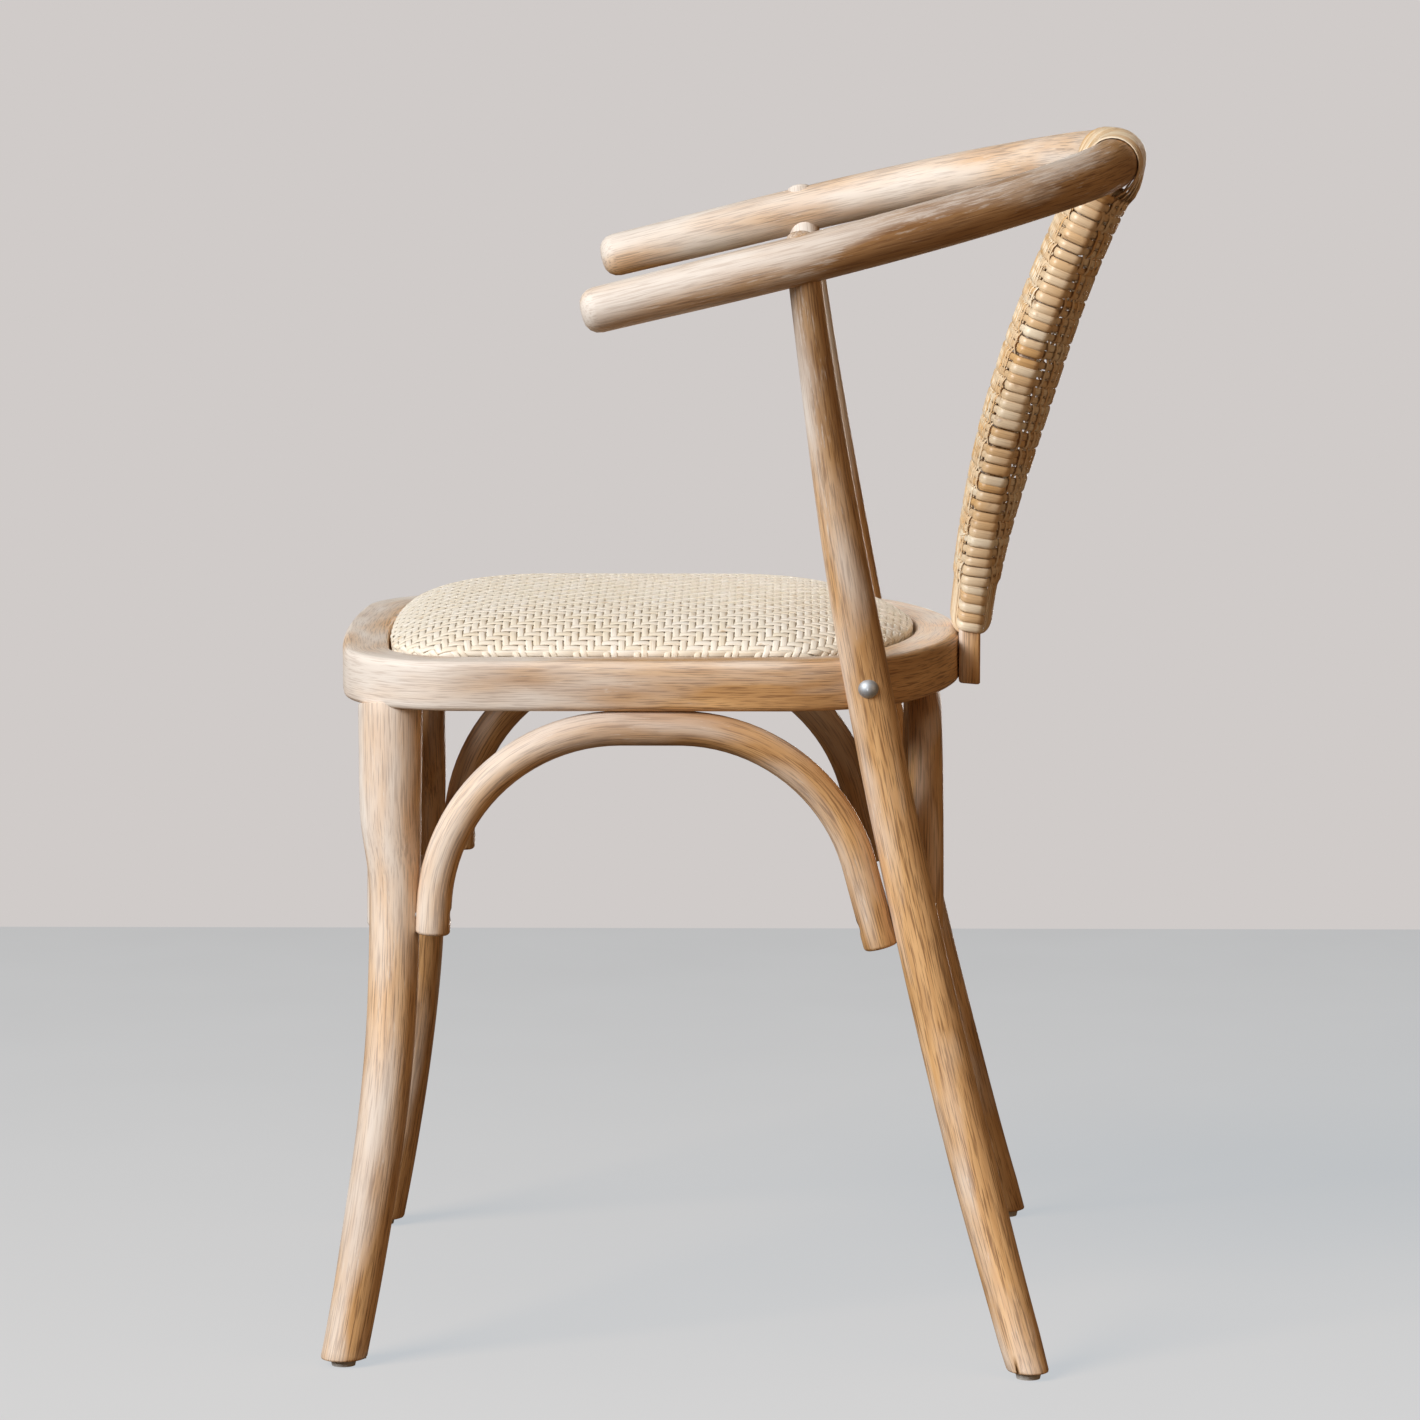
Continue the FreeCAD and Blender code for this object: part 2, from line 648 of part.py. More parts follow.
def build_brace(label, path_plane, offset, ends, profile_point, *cuts):
    """Arch between two ends, each a (place, height, lean), in an upright plane off the origin."""
    body = doc.addObject("PartDesign::Body", label + "_blank")
    radius = arch_radius(ends)
    low = brace_top - radius
    right_angle = math.pi / 2
    (near, near_level, near_lean), (far, far_level, far_lean) = ends

    def bend_start(place, level, lean, way):
        """Where the straight end meets the bend, and the bend's centre, towards the other end."""
        height = low + radius * math.sin(lean)
        x = place + way * (height - level) * math.tan(lean)
        return Vector(x, height, 0), Vector(x + way * radius * math.cos(lean), low, 0)

    def bend(centre, start, finish):
        return Part.ArcOfCircle(Part.Circle(centre, UPWARD, radius), start, finish)

    near_start, near_centre = bend_start(near, near_level, near_lean, 1)
    far_start, far_centre = bend_start(far, far_level, far_lean, -1)
    rise = Vector(0, radius, 0)
    path = new_sketch(body, label + "_path", path_plane)
    path.AttachmentOffset = Placement(Vector(0, 0, offset), Rotation())
    path.addGeometry([
        Part.LineSegment(Vector(near, near_level, 0), near_start),
        bend(near_centre, right_angle, math.pi - near_lean),
        Part.LineSegment(near_centre + rise, far_centre + rise),
        bend(far_centre, far_lean, right_angle),
        Part.LineSegment(far_start, Vector(far, far_level, 0)),
    ])
    path.addConstraint(Sketcher.Constraint("Tangent", 0, 2, 1, 2))
    path.addConstraint(Sketcher.Constraint("Tangent", 1, 1, 2, 1))
    path.addConstraint(Sketcher.Constraint("Tangent", 2, 2, 3, 2))
    path.addConstraint(Sketcher.Constraint("Tangent", 3, 1, 4, 1))
    path.addConstraint(Sketcher.Constraint("Equal", 1, 3))
    bind(path, Sketcher.Constraint("DistanceY", -1, 1, 0, 1, near_level), "end_height", "sizes.brace_end_height")
    profile = new_sketch(body, label + "_profile", "XY_Plane")
    lean_way = BACKWARD if path_plane == "YZ_Plane" else ACROSS
    way_up = UPWARD * math.cos(near_lean) + lean_way * math.sin(near_lean)
    profile.AttachmentOffset = Placement(profile_point, Rotation(UPWARD, way_up))
    profile.addGeometry(Part.Circle(ORIGIN, UPWARD, brace_round))
    bind(profile, Sketcher.Constraint("Diameter", 0, 2 * brace_round), "thickness", "sizes.brace_diameter")
    doc.recompute()
    pipe = body.newObject("PartDesign::AdditivePipe", label + "_pipe")
    pipe.Profile = profile
    pipe.Spine = (path, ["Edge1", "Edge2", "Edge3", "Edge4", "Edge5"])
    doc.recompute()
    return carve(label, body, *cuts)


def screw(head, direction, length, grow, open_out):
    """Countersunk wood screw, or the hole for one, from its head's centre along a direction."""
    shank = size("screw_diameter") / 2 + grow
    top = size("screw_head_diameter") / 2 + grow
    depth = size("screw_head_depth")
    tip = size("screw_tip")
    parts = [
        Part.makeCone(top, shank, depth),
        Part.makeCylinder(shank, length - tip - depth, Vector(0, 0, depth)),
        Part.makeCone(shank, gap, tip + grow, Vector(0, 0, length - tip)),
    ]
    if open_out:
        parts.append(Part.makeCylinder(top, open_out, Vector(0, 0, -open_out)))
    shape = joined(parts).removeSplitter()
    place = Placement(head, Rotation(UPWARD, direction))
    return shape.transformed(place.toMatrix(), True)


def brace_screws(hole):
    """Screws of the left side brace, the front brace and the rear brace, by the piece they enter."""
    length = size("brace_screw_length")
    back_off = brace_round - size("brace_screw_sink")
    grow, open_out = (gap, brace_round) if hole else (0, 0)
    rise = size("brace_screw_rise")
    level = brace_end + rise
    lean = math.tan(math.radians(size("brace_lean"))) * rise
    rear_lean = math.tan(math.radians(size("brace_rear_lean"))) * rise
    below = brace_top - back_off

    def made(x, y, z, direction):
        return screw(Vector(x, y, z), direction, length, grow, open_out)

    side_middle = (side_brace_front + side_brace_rear) / 2
    return {
        "side_leg": made(side_brace_x, side_brace_front + lean + back_off, level, -BACKWARD),
        "side_post": made(side_brace_x, side_brace_rear - rear_lean - back_off, brace_rear_end + rise, BACKWARD),
        "side_top": made(side_brace_x, side_middle, below, UPWARD),
        "front_leg": made(front_brace_half - lean - back_off, front_brace_y, level, ACROSS),
        "front_top": made(0, front_brace_y, below, UPWARD),
        "rear_post": made(rear_brace_half - lean - back_off, rear_brace_y, level, ACROSS),
        "rear_top": made(0, rear_brace_y, below, UPWARD),
    }


def seat_screws(hole):
    """Two screws on the left, up through the ledge into the seat board."""
    inset = size("band_width") + size("rebate_width") / 2
    level = seat_under + size("seat_screw_sink")
    grow, open_out = (gap, size("band_round")) if hole else (0, 0)
    places = (-size("seat_screw_front"), size("seat_screw_rear"))
    return [
        screw(Vector(seat_half - inset, y, level), UPWARD, size("seat_screw_length"), grow, open_out)
        for y in places
    ]


# Post bolt: it lies across the chair, through the post into an insert in the seat frame.
bolt_seat = Vector(
    post_waist.x + size("post_diameter") / 2 - size("bolt_spot_depth"), post_waist.y, bolt_level
)
insert_start = Vector(post_waist.x - size("post_diameter") / 2 - 2 * gap, post_waist.y, bolt_level)


def bolt_hole(radius):
    return cylinder(radius, bolt_seat + ACROSS * size("bolt_head_height"), bolt_seat - ACROSS * size("bolt_length"))


def bolt_spot():
    radius = size("bolt_head_diameter") / 2 + gap
    return cylinder(radius, bolt_seat, bolt_seat + ACROSS * size("bolt_head_diameter"))


def insert_block(grow):
    finish = insert_start - ACROSS * (size("insert_length") + grow)
    return cylinder(size("insert_diameter") / 2 + grow, insert_start + ACROSS * grow, finish)


def build_post_bolts():
    """Dome-headed bolt: a turned half section, once round."""
    body = doc.addObject("PartDesign::Body", "bolt_left")
    section = new_sketch(body, "bolt_section", "XZ_Plane")
    shank = size("bolt_diameter") / 2
    head = size("bolt_head_diameter") / 2
    tall = size("bolt_head_height")
    length = size("bolt_length")
    crown = (head**2 + tall**2) / (2 * tall)
    edge_angle = math.asin((crown - tall) / crown)
    dome = Part.Circle(Vector(0, tall - crown, 0), UPWARD, crown)
    section.addGeometry([
        Part.LineSegment(Vector(0, -length, 0), Vector(shank, -length, 0)),
        Part.LineSegment(Vector(shank, -length, 0), Vector(shank, 0, 0)),
        Part.LineSegment(Vector(shank, 0, 0), Vector(head, 0, 0)),
        Part.ArcOfCircle(dome, edge_angle, math.pi / 2),
        Part.LineSegment(Vector(0, tall, 0), Vector(0, -length, 0)),
    ])
    for index in range(4):
        sketch_end = Sketcher.Constraint("Coincident", index, 2, index + 1, 1)
        section.addConstraint(sketch_end)
    section.addConstraint(Sketcher.Constraint("Coincident", 4, 2, 0, 1))
    bind(section, Sketcher.Constraint("Distance", 1, length), "length", "sizes.bolt_length")
    bind(section, Sketcher.Constraint("Distance", 0, shank), "shank", "sizes.bolt_diameter / 2")
    doc.recompute()
    turned = body.newObject("PartDesign::Revolution", "bolt_turned")
    turned.Profile = section
    turned.ReferenceAxis = (section, ["V_Axis"])
    turned.Angle = 360
    body.Placement = Placement(bolt_seat, Rotation(UPWARD, ACROSS))
    doc.recompute()
    group("post_bolts", [body, mirrored("bolt_right", body)])


def build_bolt_inserts():
    sleeve = insert_block(0).cut(bolt_hole(size("bolt_diameter") / 2 + gap))
    piece("post_bolt_inserts", Part.makeCompound(both_sides(sleeve)))


# Splat stiles: a straight foot behind the seat frame, then an arc up to the rail.
stile_top = rail_point(size("stile_top_span") / 2)
stile_base = Vector(
    size("stile_foot_span") / 2, seat_rear + size("stile_depth") / 2 - size("stile_let_in"), seat_under
)
stile_slope = (stile_top.x - stile_base.x) / (stile_top.z - stile_base.z)
stile_across = Vector(1, 0, -stile_slope).normalize()
stile_rise = Vector(stile_slope, 0, 1).normalize()
stile_knee = stile_base + stile_rise * size("stile_foot_length")
stile_chord = stile_top - stile_knee
stile_bow_way = stile_across.cross(stile_chord).normalize()
stile_middle = (stile_knee + stile_top) * 0.5 - stile_bow_way * size("stile_bow")
if (stile_middle - (stile_knee + stile_top) * 0.5).dot(BACKWARD) > 0:
    stile_middle = (stile_knee + stile_top) * 0.5 + stile_bow_way * size("stile_bow")
stile_arc = [Part.Arc(stile_knee, stile_middle, stile_top).toShape()]


def stile_bar(width, depth, start, with_foot):
    """Rectangular bar along the stile, from a distance above its foot to the rail's axis."""
    length = stile_arc[0].Length
    frames = []
    if with_foot:
        frames.append((stile_base, stile_rise))
        frames.append((stile_base + stile_rise * (size("stile_foot_length") / 2), stile_rise))
    for step in range(STILE_STATIONS):
        distance = start + (length - start) * step / (STILE_STATIONS - 1)
        frames.append(along(stile_arc, distance))
    sections = []
    for point, direction in frames:
        through = direction.cross(stile_across).normalize()
        side, face = stile_across * (width / 2), through * (depth / 2)
        corners = [point + side + face, point - side + face, point - side - face, point + side - face]
        sections.append(Part.makePolygon(corners + corners[:1]))
    return Part.makeLoft(sections, True, False)


def stile_tenon(grow):
    point, direction = along(stile_arc, stile_arc[0].Length)
    start = point - direction * (2 * rail_round)
    finish = point + direction * (size("stile_tenon_length") - rail_round + grow)
    return cylinder(size("stile_tenon_diameter") / 2 + grow, start, finish)


def stile_screws(hole):
    """Two screws through the left stile's foot into the back of the seat frame."""
    grow, open_out = (gap, size("stile_depth") / 2) if hole else (0, 0)
    y = stile_base.y + size("stile_depth") / 2 - size("stile_screw_sink")
    middle = stile_base + stile_rise * (size("band_height") / 2)
    pitch = stile_rise * (size("stile_screw_pitch") / 2)
    return [
        screw(Vector(place.x, y, place.z), -BACKWARD, size("stile_screw_length"), grow, open_out)
        for place in (middle - pitch, middle + pitch)
    ]


def build_left_stile(cuts):
    bar = stile_bar(size("stile_width"), size("stile_depth"), 0, True)
    bar = bar.cut(rail_ring(rail_round + gap))
    bar = max(bar.Solids, key=lambda solid: solid.Volume)
    bar = bar.cut(seat_block(-gap, seat_under - size("stile_depth"), seat_top + gap))
    bar = max(bar.Solids, key=lambda solid: solid.Volume)
    return carve("left_splat_stile", piece("stile_stem", bar.fuse(stile_tenon(0))), cuts)


def build_left_stile_wrap():
    """Cane winding round the stile, from above its foot to the cane on the rail."""
    wall = 2 * size("wrap_thickness")
    width, depth = size("stile_width") + 2 * gap, size("stile_depth") + 2 * gap
    start = size("wrap_start")
    outside = stile_bar(width + wall, depth + wall, start, False)
    sleeve = outside.cut(stile_bar(width, depth, 0, True))
    sleeve = sleeve.cut(rail_ring(wrap_round + gap))
    return piece("left_stile_wrap", max(sleeve.Solids, key=lambda solid: solid.Volume))


def eased(first, last, share):
    return first + (last - first) * share * share * (3 - 2 * share)


def build_weave(label, face_sign, middle_bulge):
    """Woven face of the splat: a thin sheet across both stiles that bellies out and follows the rail."""
    length = stile_arc[0].Length
    start = size("wrap_start")
    thick = size("weave_thickness")
    edge_out = size("stile_depth") / 2 + gap + size("wrap_thickness") + size("soft_gap")
    foot_bulge = size("weave_foot_bulge")
    top_bulge = wrap_round - edge_out - thick - gap
    foot_curve = size("weave_foot_curve")
    top_curve = rail_point(0).y - stile_top.y
    sections = []
    for step in range(WEAVE_STATIONS):
        share = step / (WEAVE_STATIONS - 1)
        point, direction = along(stile_arc, start + (length - start) * share)
        if share < 0.5:
            bulge = eased(foot_bulge, middle_bulge, 2 * share)
        else:
            bulge = eased(middle_bulge, top_bulge, 2 * share - 1)
        bulge += face_sign * (foot_curve + (top_curve - foot_curve) * share)
        half = point.x + size("stile_width") / 2 + size("wrap_thickness")
        outward = Vector(0, direction.z, -direction.y).normalize() * face_sign
        middle = Vector(0, point.y, point.z)

        def spot(x, distance):
            return middle + ACROSS * x + outward * distance

        inner = Part.Arc(spot(-half, edge_out), spot(0, edge_out + bulge), spot(half, edge_out))
        outer = Part.Arc(
            spot(half, edge_out + thick), spot(0, edge_out + thick + bulge), spot(-half, edge_out + thick)
        )
        left_end = Part.LineSegment(spot(half, edge_out), spot(half, edge_out + thick))
        right_end = Part.LineSegment(spot(-half, edge_out + thick), spot(-half, edge_out))
        sections.append(Part.Wire([edge.toShape() for edge in (inner, left_end, outer, right_end)]))
    sheet_solid = Part.makeLoft(sections, True, False).cut(rail_ring(wrap_round + gap))
    return piece(label, max(sheet_solid.Solids, key=lambda solid: solid.Volume))


def build_rail_wrap():
    """Cane over the rail above the splat, open below where the stiles come up."""
    half_turn = math.degrees(math.asin(size("rail_wrap_span") / 2 / rail_radius))
    sleeve = []
    for radius in (wrap_round, rail_round + gap):
        ring = Part.makeTorus(rail_radius, radius, ORIGIN, UPWARD, 0, 360, 2 * half_turn)
        ring.Placement = rail_place.multiply(Placement(ORIGIN, Rotation(UPWARD, 90 - half_turn)))
        sleeve.append(ring)
    stile_room = stile_bar(size("stile_width") + 2 * gap, size("stile_depth") + 2 * gap, 0, True)
    return piece("rail_wrap", sleeve[0].cut(joined([sleeve[1]] + both_sides(stile_room))))


def build_glides():
    """Tapered glide with its pin, one under each foot."""
    feet = (
        ("front_left", leg_foot.x, leg_foot.y),
        ("front_right", -leg_foot.x, leg_foot.y),
        ("rear_left", post_foot.x, post_foot.y),
        ("rear_right", -post_foot.x, post_foot.y),
    )
    members = []
    for name, x, y in feet:
        disc = doc.addObject("Part::Cone", "glide_disc_" + name)
        disc.setExpression("Radius1", "sizes.glide_base_diameter / 2")
        disc.setExpression("Radius2", "sizes.glide_diameter / 2")
        disc.setExpression("Height", "sizes.glide_height")
        disc.Placement = Placement(Vector(x, y, 0), Rotation())
        pin = doc.addObject("Part::Cylinder", "glide_pin_" + name)
        pin.setExpression("Radius", "sizes.glide_pin_diameter / 2")
        pin.setExpression("Height", "sizes.glide_height + sizes.glide_pin_length")
        pin.Placement = Placement(Vector(x, y, 0), Rotation())
        glide = doc.addObject("Part::Fuse", "glide_" + name)
        glide.Base = disc
        glide.Tool = pin
        members.append(glide)
    return group("foot_glides", members)


def glide_pin_hole(foot):
    radius = size("glide_pin_diameter") / 2 + gap
    start = Vector(foot.x, foot.y, 0)
    return cylinder(radius, start, start + UPWARD * (foot_level + size("glide_pin_length") + gap))


def floor_trim(foot):
    """Block that cuts a foot level with the top of its glide."""
    reach = 2 * size("post_diameter")
    return Part.makeBox(2 * reach, 2 * reach, reach, Vector(foot.x - reach, foot.y - reach, foot_level - reach))


def all_sides(shapes):
    return [copy for shape in shapes for copy in both_sides(shape)]


def build_chair():
    holes = brace_screws(True)
    seat_holes = all_sides(seat_screws(True))
    stile_holes = all_sides(stile_screws(True))
    shank_hole = bolt_hole(size("bolt_diameter") / 2 + gap)
    leg_room = leg_rod(gap)
    post_room = post_rod(gap)

    build_back_rail(both_sides(post_tenon(gap, 2 * rail_round)), both_sides(stile_tenon(gap)))
    build_seat_frame(
        both_sides(post_room),
        both_sides(leg_tenon(gap, size("leg_tenon_length") + gap)),
        both_sides(holes["side_top"]) + [holes["front_top"], holes["rear_top"]],
        seat_holes,
        stile_holes,
        both_sides(insert_block(gap)),
        both_sides(shank_hole),
    )
    build_seat_board(seat_holes)
    build_seat_pad()

    left_post = build_left_post(
        [floor_trim(post_foot)],
        [glide_pin_hole(post_foot)],
        [holes["side_post"]],
        [holes["rear_post"]],
        [bolt_spot()],
        [shank_hole],
    )
    mirrored("right_rear_post", left_post)
    left_leg = build_left_leg(
        [floor_trim(leg_foot)],
        [glide_pin_hole(leg_foot)],
        [holes["side_leg"]],
        [holes["front_leg"]],
    )
    mirrored("right_front_leg", left_leg)

    lean = math.radians(size("brace_lean"))
    rear_lean = math.radians(size("brace_rear_lean"))
    left_side = build_brace(
        "left_side_brace",
        "YZ_Plane",
        side_brace_x,
        ((side_brace_front, brace_end, lean), (side_brace_rear, brace_rear_end, rear_lean)),
        Vector(side_brace_x, side_brace_front, brace_end),
        [leg_room, post_room],
        [holes["side_leg"], holes["side_post"], holes["side_top"]],
    )
    mirrored("right_side_brace", left_side)
    build_brace(
        "front_brace",
        "XZ_Plane",
        -front_brace_y,
        ((-front_brace_half, brace_end, lean), (front_brace_half, brace_end, lean)),
        Vector(-front_brace_half, front_brace_y, brace_end),
        both_sides(leg_room),
        both_sides(holes["front_leg"]) + [holes["front_top"]],
    )
    build_brace(
        "rear_brace",
        "XZ_Plane",
        -rear_brace_y,
        ((-rear_brace_half, brace_end, lean), (rear_brace_half, brace_end, lean)),
        Vector(-rear_brace_half, rear_brace_y, brace_end),
        both_sides(post_room),
        both_sides(holes["rear_post"]) + [holes["rear_top"]],
    )

    screws = brace_screws(False)
    end_names = ("side_leg", "side_post", "front_leg", "rear_post")
    piece("brace_end_screws", Part.makeCompound(all_sides(screws[name] for name in end_names)))
    top_screws = both_sides(screws["side_top"]) + [screws["front_top"], screws["rear_top"]]
    piece("brace_top_screws", Part.makeCompound(top_screws))
    piece("seat_screws", Part.makeCompound(all_sides(seat_screws(False))))

    build_post_bolts()
    build_bolt_inserts()

    left_stile = build_left_stile(stile_screws(True))
    mirrored("right_splat_stile", left_stile)
    piece("splat_foot_screws", Part.makeCompound(all_sides(stile_screws(False))))
    mirrored("right_stile_wrap", build_left_stile_wrap())
    build_weave("splat_front_weave", -1, size("weave_front_bulge"))
    build_weave("splat_back_weave", 1, size("weave_back_bulge"))
    build_rail_wrap()
    build_glides()


NODES = (
    "back_rail",
    "left_rear_post",
    "right_rear_post",
    "left_front_leg",
    "right_front_leg",
    "seat_frame",
    "seat_board",
    "seat_padding",
    "seat_weave",
    "seat_screws",
    "left_side_brace",
    "right_side_brace",
    "front_brace",
    "rear_brace",
    "brace_end_screws",
    "brace_top_screws",
    "post_bolts",
    "post_bolt_inserts",
    "left_splat_stile",
    "right_splat_stile",
    "splat_foot_screws",
    "left_stile_wrap",
    "right_stile_wrap",
    "splat_front_weave",
    "splat_back_weave",
    "rail_wrap",
    "foot_glides",
)

build_chair()
doc.recompute()

for item in doc.Objects:
    if "Invalid" in item.State or "Error" in item.State:
        raise RuntimeError(f"{item.Label} failed: {item.State}")
for node in NODES:
    shape = doc.getObjectsByLabel(node)[0].Shape
    if shape.isNull() or not shape.isValid():
        raise RuntimeError(f"{node} has no valid shape")

os.makedirs("parts", exist_ok=True)
whole = FreeCAD.BoundBox()
for node in NODES:
    shape = doc.getObjectsByLabel(node)[0].Shape
    shape.exportStep(f"parts/{node}.step")
    whole.add(shape.optimalBoundingBox())
    print(node, "solids", len(shape.Solids), "volume", round(shape.Volume), "mm3")
print("box", [round(value, 2) for value in (whole.XMin, whole.XMax, whole.YMin, whole.YMax, whole.ZMin, whole.ZMax)])
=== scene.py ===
# %% [markdown]
# # A limed bentwood armchair with a woven cane seat and back
#
# The chair is a hoop of steam-bent wood for the arms, two bent rear posts, two front legs, a bent
# seat ring with four bent braces under it, a woven cane seat over a thin pad, and a narrow woven
# cane splat. The CAD model already holds every size. Here each piece gets the surface that a hand
# and an eye would find on it.

import bisect
import math
import random

import bmesh
import bpy
from mathutils import Matrix, Vector


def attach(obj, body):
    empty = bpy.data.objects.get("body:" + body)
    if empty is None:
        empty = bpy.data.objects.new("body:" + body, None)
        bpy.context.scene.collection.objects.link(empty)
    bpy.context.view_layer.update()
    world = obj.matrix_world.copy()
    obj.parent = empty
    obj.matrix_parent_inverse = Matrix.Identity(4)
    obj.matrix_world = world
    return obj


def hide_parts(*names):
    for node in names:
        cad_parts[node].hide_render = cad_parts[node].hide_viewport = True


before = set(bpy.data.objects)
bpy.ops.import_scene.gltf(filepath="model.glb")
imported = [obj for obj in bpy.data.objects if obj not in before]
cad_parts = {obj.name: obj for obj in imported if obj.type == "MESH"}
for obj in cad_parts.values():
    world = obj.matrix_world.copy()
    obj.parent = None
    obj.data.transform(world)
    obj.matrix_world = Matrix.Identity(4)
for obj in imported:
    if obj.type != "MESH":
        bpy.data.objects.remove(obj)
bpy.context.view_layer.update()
print("CAD nodes:", len(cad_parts))

# %% [markdown]
# ## Camera
#
# The photograph was taken from the chair's left side, from almost five metres away with a long lens,
# a little above the seat. The two arms, the feet and the seat ring gave the lens and the place.
# The camera is set by its three directions, so that nothing has to be aimed by eye.

# %% Camera at the photograph's view
picture_pixels = 1420.0
focal_pixels = 7393.0
camera_place = (4.86605, 0.0385, 1.04883)
photo_camera = bpy.data.objects.new("photo_camera", bpy.data.cameras.new("photo_camera"))
bpy.context.scene.collection.objects.link(photo_camera)
photo_camera.data.sensor_width = 36.0
photo_camera.data.lens = photo_camera.data.sensor_width * focal_pixels / picture_pixels
look_right = Vector((-0.01206402, 0.99992723, 0.0))
look_ahead = Vector((-0.99099229, -0.01195622, -0.13338416))
look_up = look_right.cross(look_ahead)
turned = Matrix((look_right, look_up, -look_ahead)).transposed().to_4x4()
photo_camera.matrix_world = Matrix.Translation(camera_place) @ turned
bpy.context.scene.camera = photo_camera
print("lens", round(photo_camera.data.lens, 1), "mm")

# %% [markdown]
# ## Colours and nodes
#
# Colours are picked as sRGB hex values, as a paint chart gives them, and Blender's nodes work in
# linear light, so one function changes the first to the second. One more function adds a node:
# its own settings by name, and its sockets either a plain value or the output of another node.

# %% Colour and node helpers
def linear(hex_colour):
    """An sRGB hex colour as the linear colour that a node wants."""
    parts = [int(hex_colour[k : k + 2], 16) / 255 for k in (1, 3, 5)]
    return tuple(p / 12.92 if p <= 0.04045 else ((p + 0.055) / 1.055) ** 2.4 for p in parts) + (1.0,)


def add_node(tree, kind, sockets=None, **settings):
    """One node with its settings and its sockets, each a value or another node's output."""
    node = tree.nodes.new(kind)
    for name, value in settings.items():
        setattr(node, name, value)
    for socket, value in (sockets or {}).items():
        if isinstance(value, bpy.types.NodeSocket):
            tree.links.new(value, node.inputs[socket])
        else:
            node.inputs[socket].default_value = value
    return node


def new_material(name):
    """An empty node material and its tree."""
    material = bpy.data.materials.new(name)
    material.use_nodes = True
    material.node_tree.nodes.clear()
    return material, material.node_tree


print("tan in linear light:", [round(c, 3) for c in linear("#C8A680")])

# %% [markdown]
# ## Floor and light
#
# The floor is a plain pale sheet. One broad lamp stands high on the left of the picture, so the faces
# that look forwards are bright and those that look backwards are dark. A wide soft one hangs over the
# chair, a weak warm one behind it turns the dark faces golden brown, and a small low one beyond it gives
# the far legs a pale edge. The camera sees an even, pale backdrop and a pale floor with a painted glow
# that fills its shadows, and painted shade that darkens it towards the back. The chair sees both much
# dimmer, as a large dark studio would show them, because brightness all round would wash out every shadow.

# %% Floor paint
matt_paint, tree = new_material("matt_grey_paint_rolled")
# Rolled matt paint has no gloss: it shows soft clouds, some 170 mm across, where it was laid thinner.
place = add_node(tree, "ShaderNodeTexCoord")
clouds = add_node(tree, "ShaderNodeTexNoise", {"Vector": place.outputs["Object"], "Scale": 6.0, "Detail": 3.0})
depth_back = add_node(tree, "ShaderNodeSeparateXYZ", {0: place.outputs["Object"]})
# Painted shade: the paint is drawn darker towards the back of the floor, where less light reaches it.
far_shade_share = add_node(
    tree, "ShaderNodeMapRange", {"Value": depth_back.outputs["X"], "From Min": -1.5, "From Max": 0.9}
)
paint_with_far_shade = add_node(
    tree,
    "ShaderNodeMix",
    {0: far_shade_share.outputs[0], 6: linear("#B4BABF"), 7: linear("#D2D8DD")},
    data_type="RGBA",
)
thin_share = add_node(tree, "ShaderNodeMapRange", {"Value": clouds.outputs[0], "To Max": 0.3})
clouded = add_node(
    tree,
    "ShaderNodeMix",
    {0: thin_share.outputs[0], 6: paint_with_far_shade.outputs[2], 7: linear("#C8CED3")},
    data_type="RGBA",
)
floor_rough = add_node(
    tree, "ShaderNodeMapRange", {"Value": clouds.outputs[0], "To Min": 0.75, "To Max": 0.9}
)
# The chair sees a darker floor than the camera does, as if black cloth lay round it out of the picture.
paint_skin = add_node(
    tree,
    "ShaderNodeBsdfPrincipled",
    {"Base Color": linear("#6B5C4C"), "Roughness": floor_rough.outputs[0], "Specular IOR Level": 0.0},
)
# The camera sees the paint with a painted glow that fills in its shadows, as white cards round a studio table
# would.
painted_glow = add_node(tree, "ShaderNodeEmission", {"Color": clouded.outputs[2], "Strength": 0.88})
floor_skin = add_node(tree, "ShaderNodeAddShader", {0: paint_skin.outputs[0], 1: painted_glow.outputs[0]})
floor_ray = add_node(tree, "ShaderNodeLightPath")
floor_seen = add_node(
    tree,
    "ShaderNodeMixShader",
    {0: floor_ray.outputs["Is Camera Ray"], 1: paint_skin.outputs[0], 2: floor_skin.outputs[0]},
)
add_node(tree, "ShaderNodeOutputMaterial", {"Surface": floor_seen.outputs[0]})
print("floor paint nodes:", len(tree.nodes))

# %% Floor
floor_half = (4.75, 6.0, 1.0)
floor_middle = (3.25, 0.0, 0.0)
sheet = bmesh.new()
bmesh.ops.create_grid(sheet, x_segments=2, y_segments=2, size=1.0)
bmesh.ops.scale(sheet, vec=floor_half, verts=sheet.verts)
bmesh.ops.translate(sheet, vec=floor_middle, verts=sheet.verts)
floor = bpy.data.objects.new("floor", bpy.data.meshes.new("floor"))
sheet.to_mesh(floor.data)
sheet.free()
floor.data.materials.append(matt_paint)
bpy.context.scene.collection.objects.link(floor)
print("floor", [round(d, 2) for d in floor.dimensions])

# %% Light
studio = bpy.data.worlds.new("studio")
bpy.context.scene.world = studio
studio.use_nodes = True
tree = studio.node_tree
tree.nodes.clear()
backdrop = add_node(tree, "ShaderNodeBackground", {"Color": linear("#D0CBC9"), "Strength": 1.0})
room = add_node(tree, "ShaderNodeBackground", {"Color": linear("#DCC0A2"), "Strength": 0.05})
ray = add_node(tree, "ShaderNodeLightPath")
seen = add_node(
    tree,
    "ShaderNodeMixShader",
    {0: ray.outputs["Is Camera Ray"], 1: room.outputs[0], 2: backdrop.outputs[0]},
)
add_node(tree, "ShaderNodeOutputWorld", {"Surface": seen.outputs[0]})


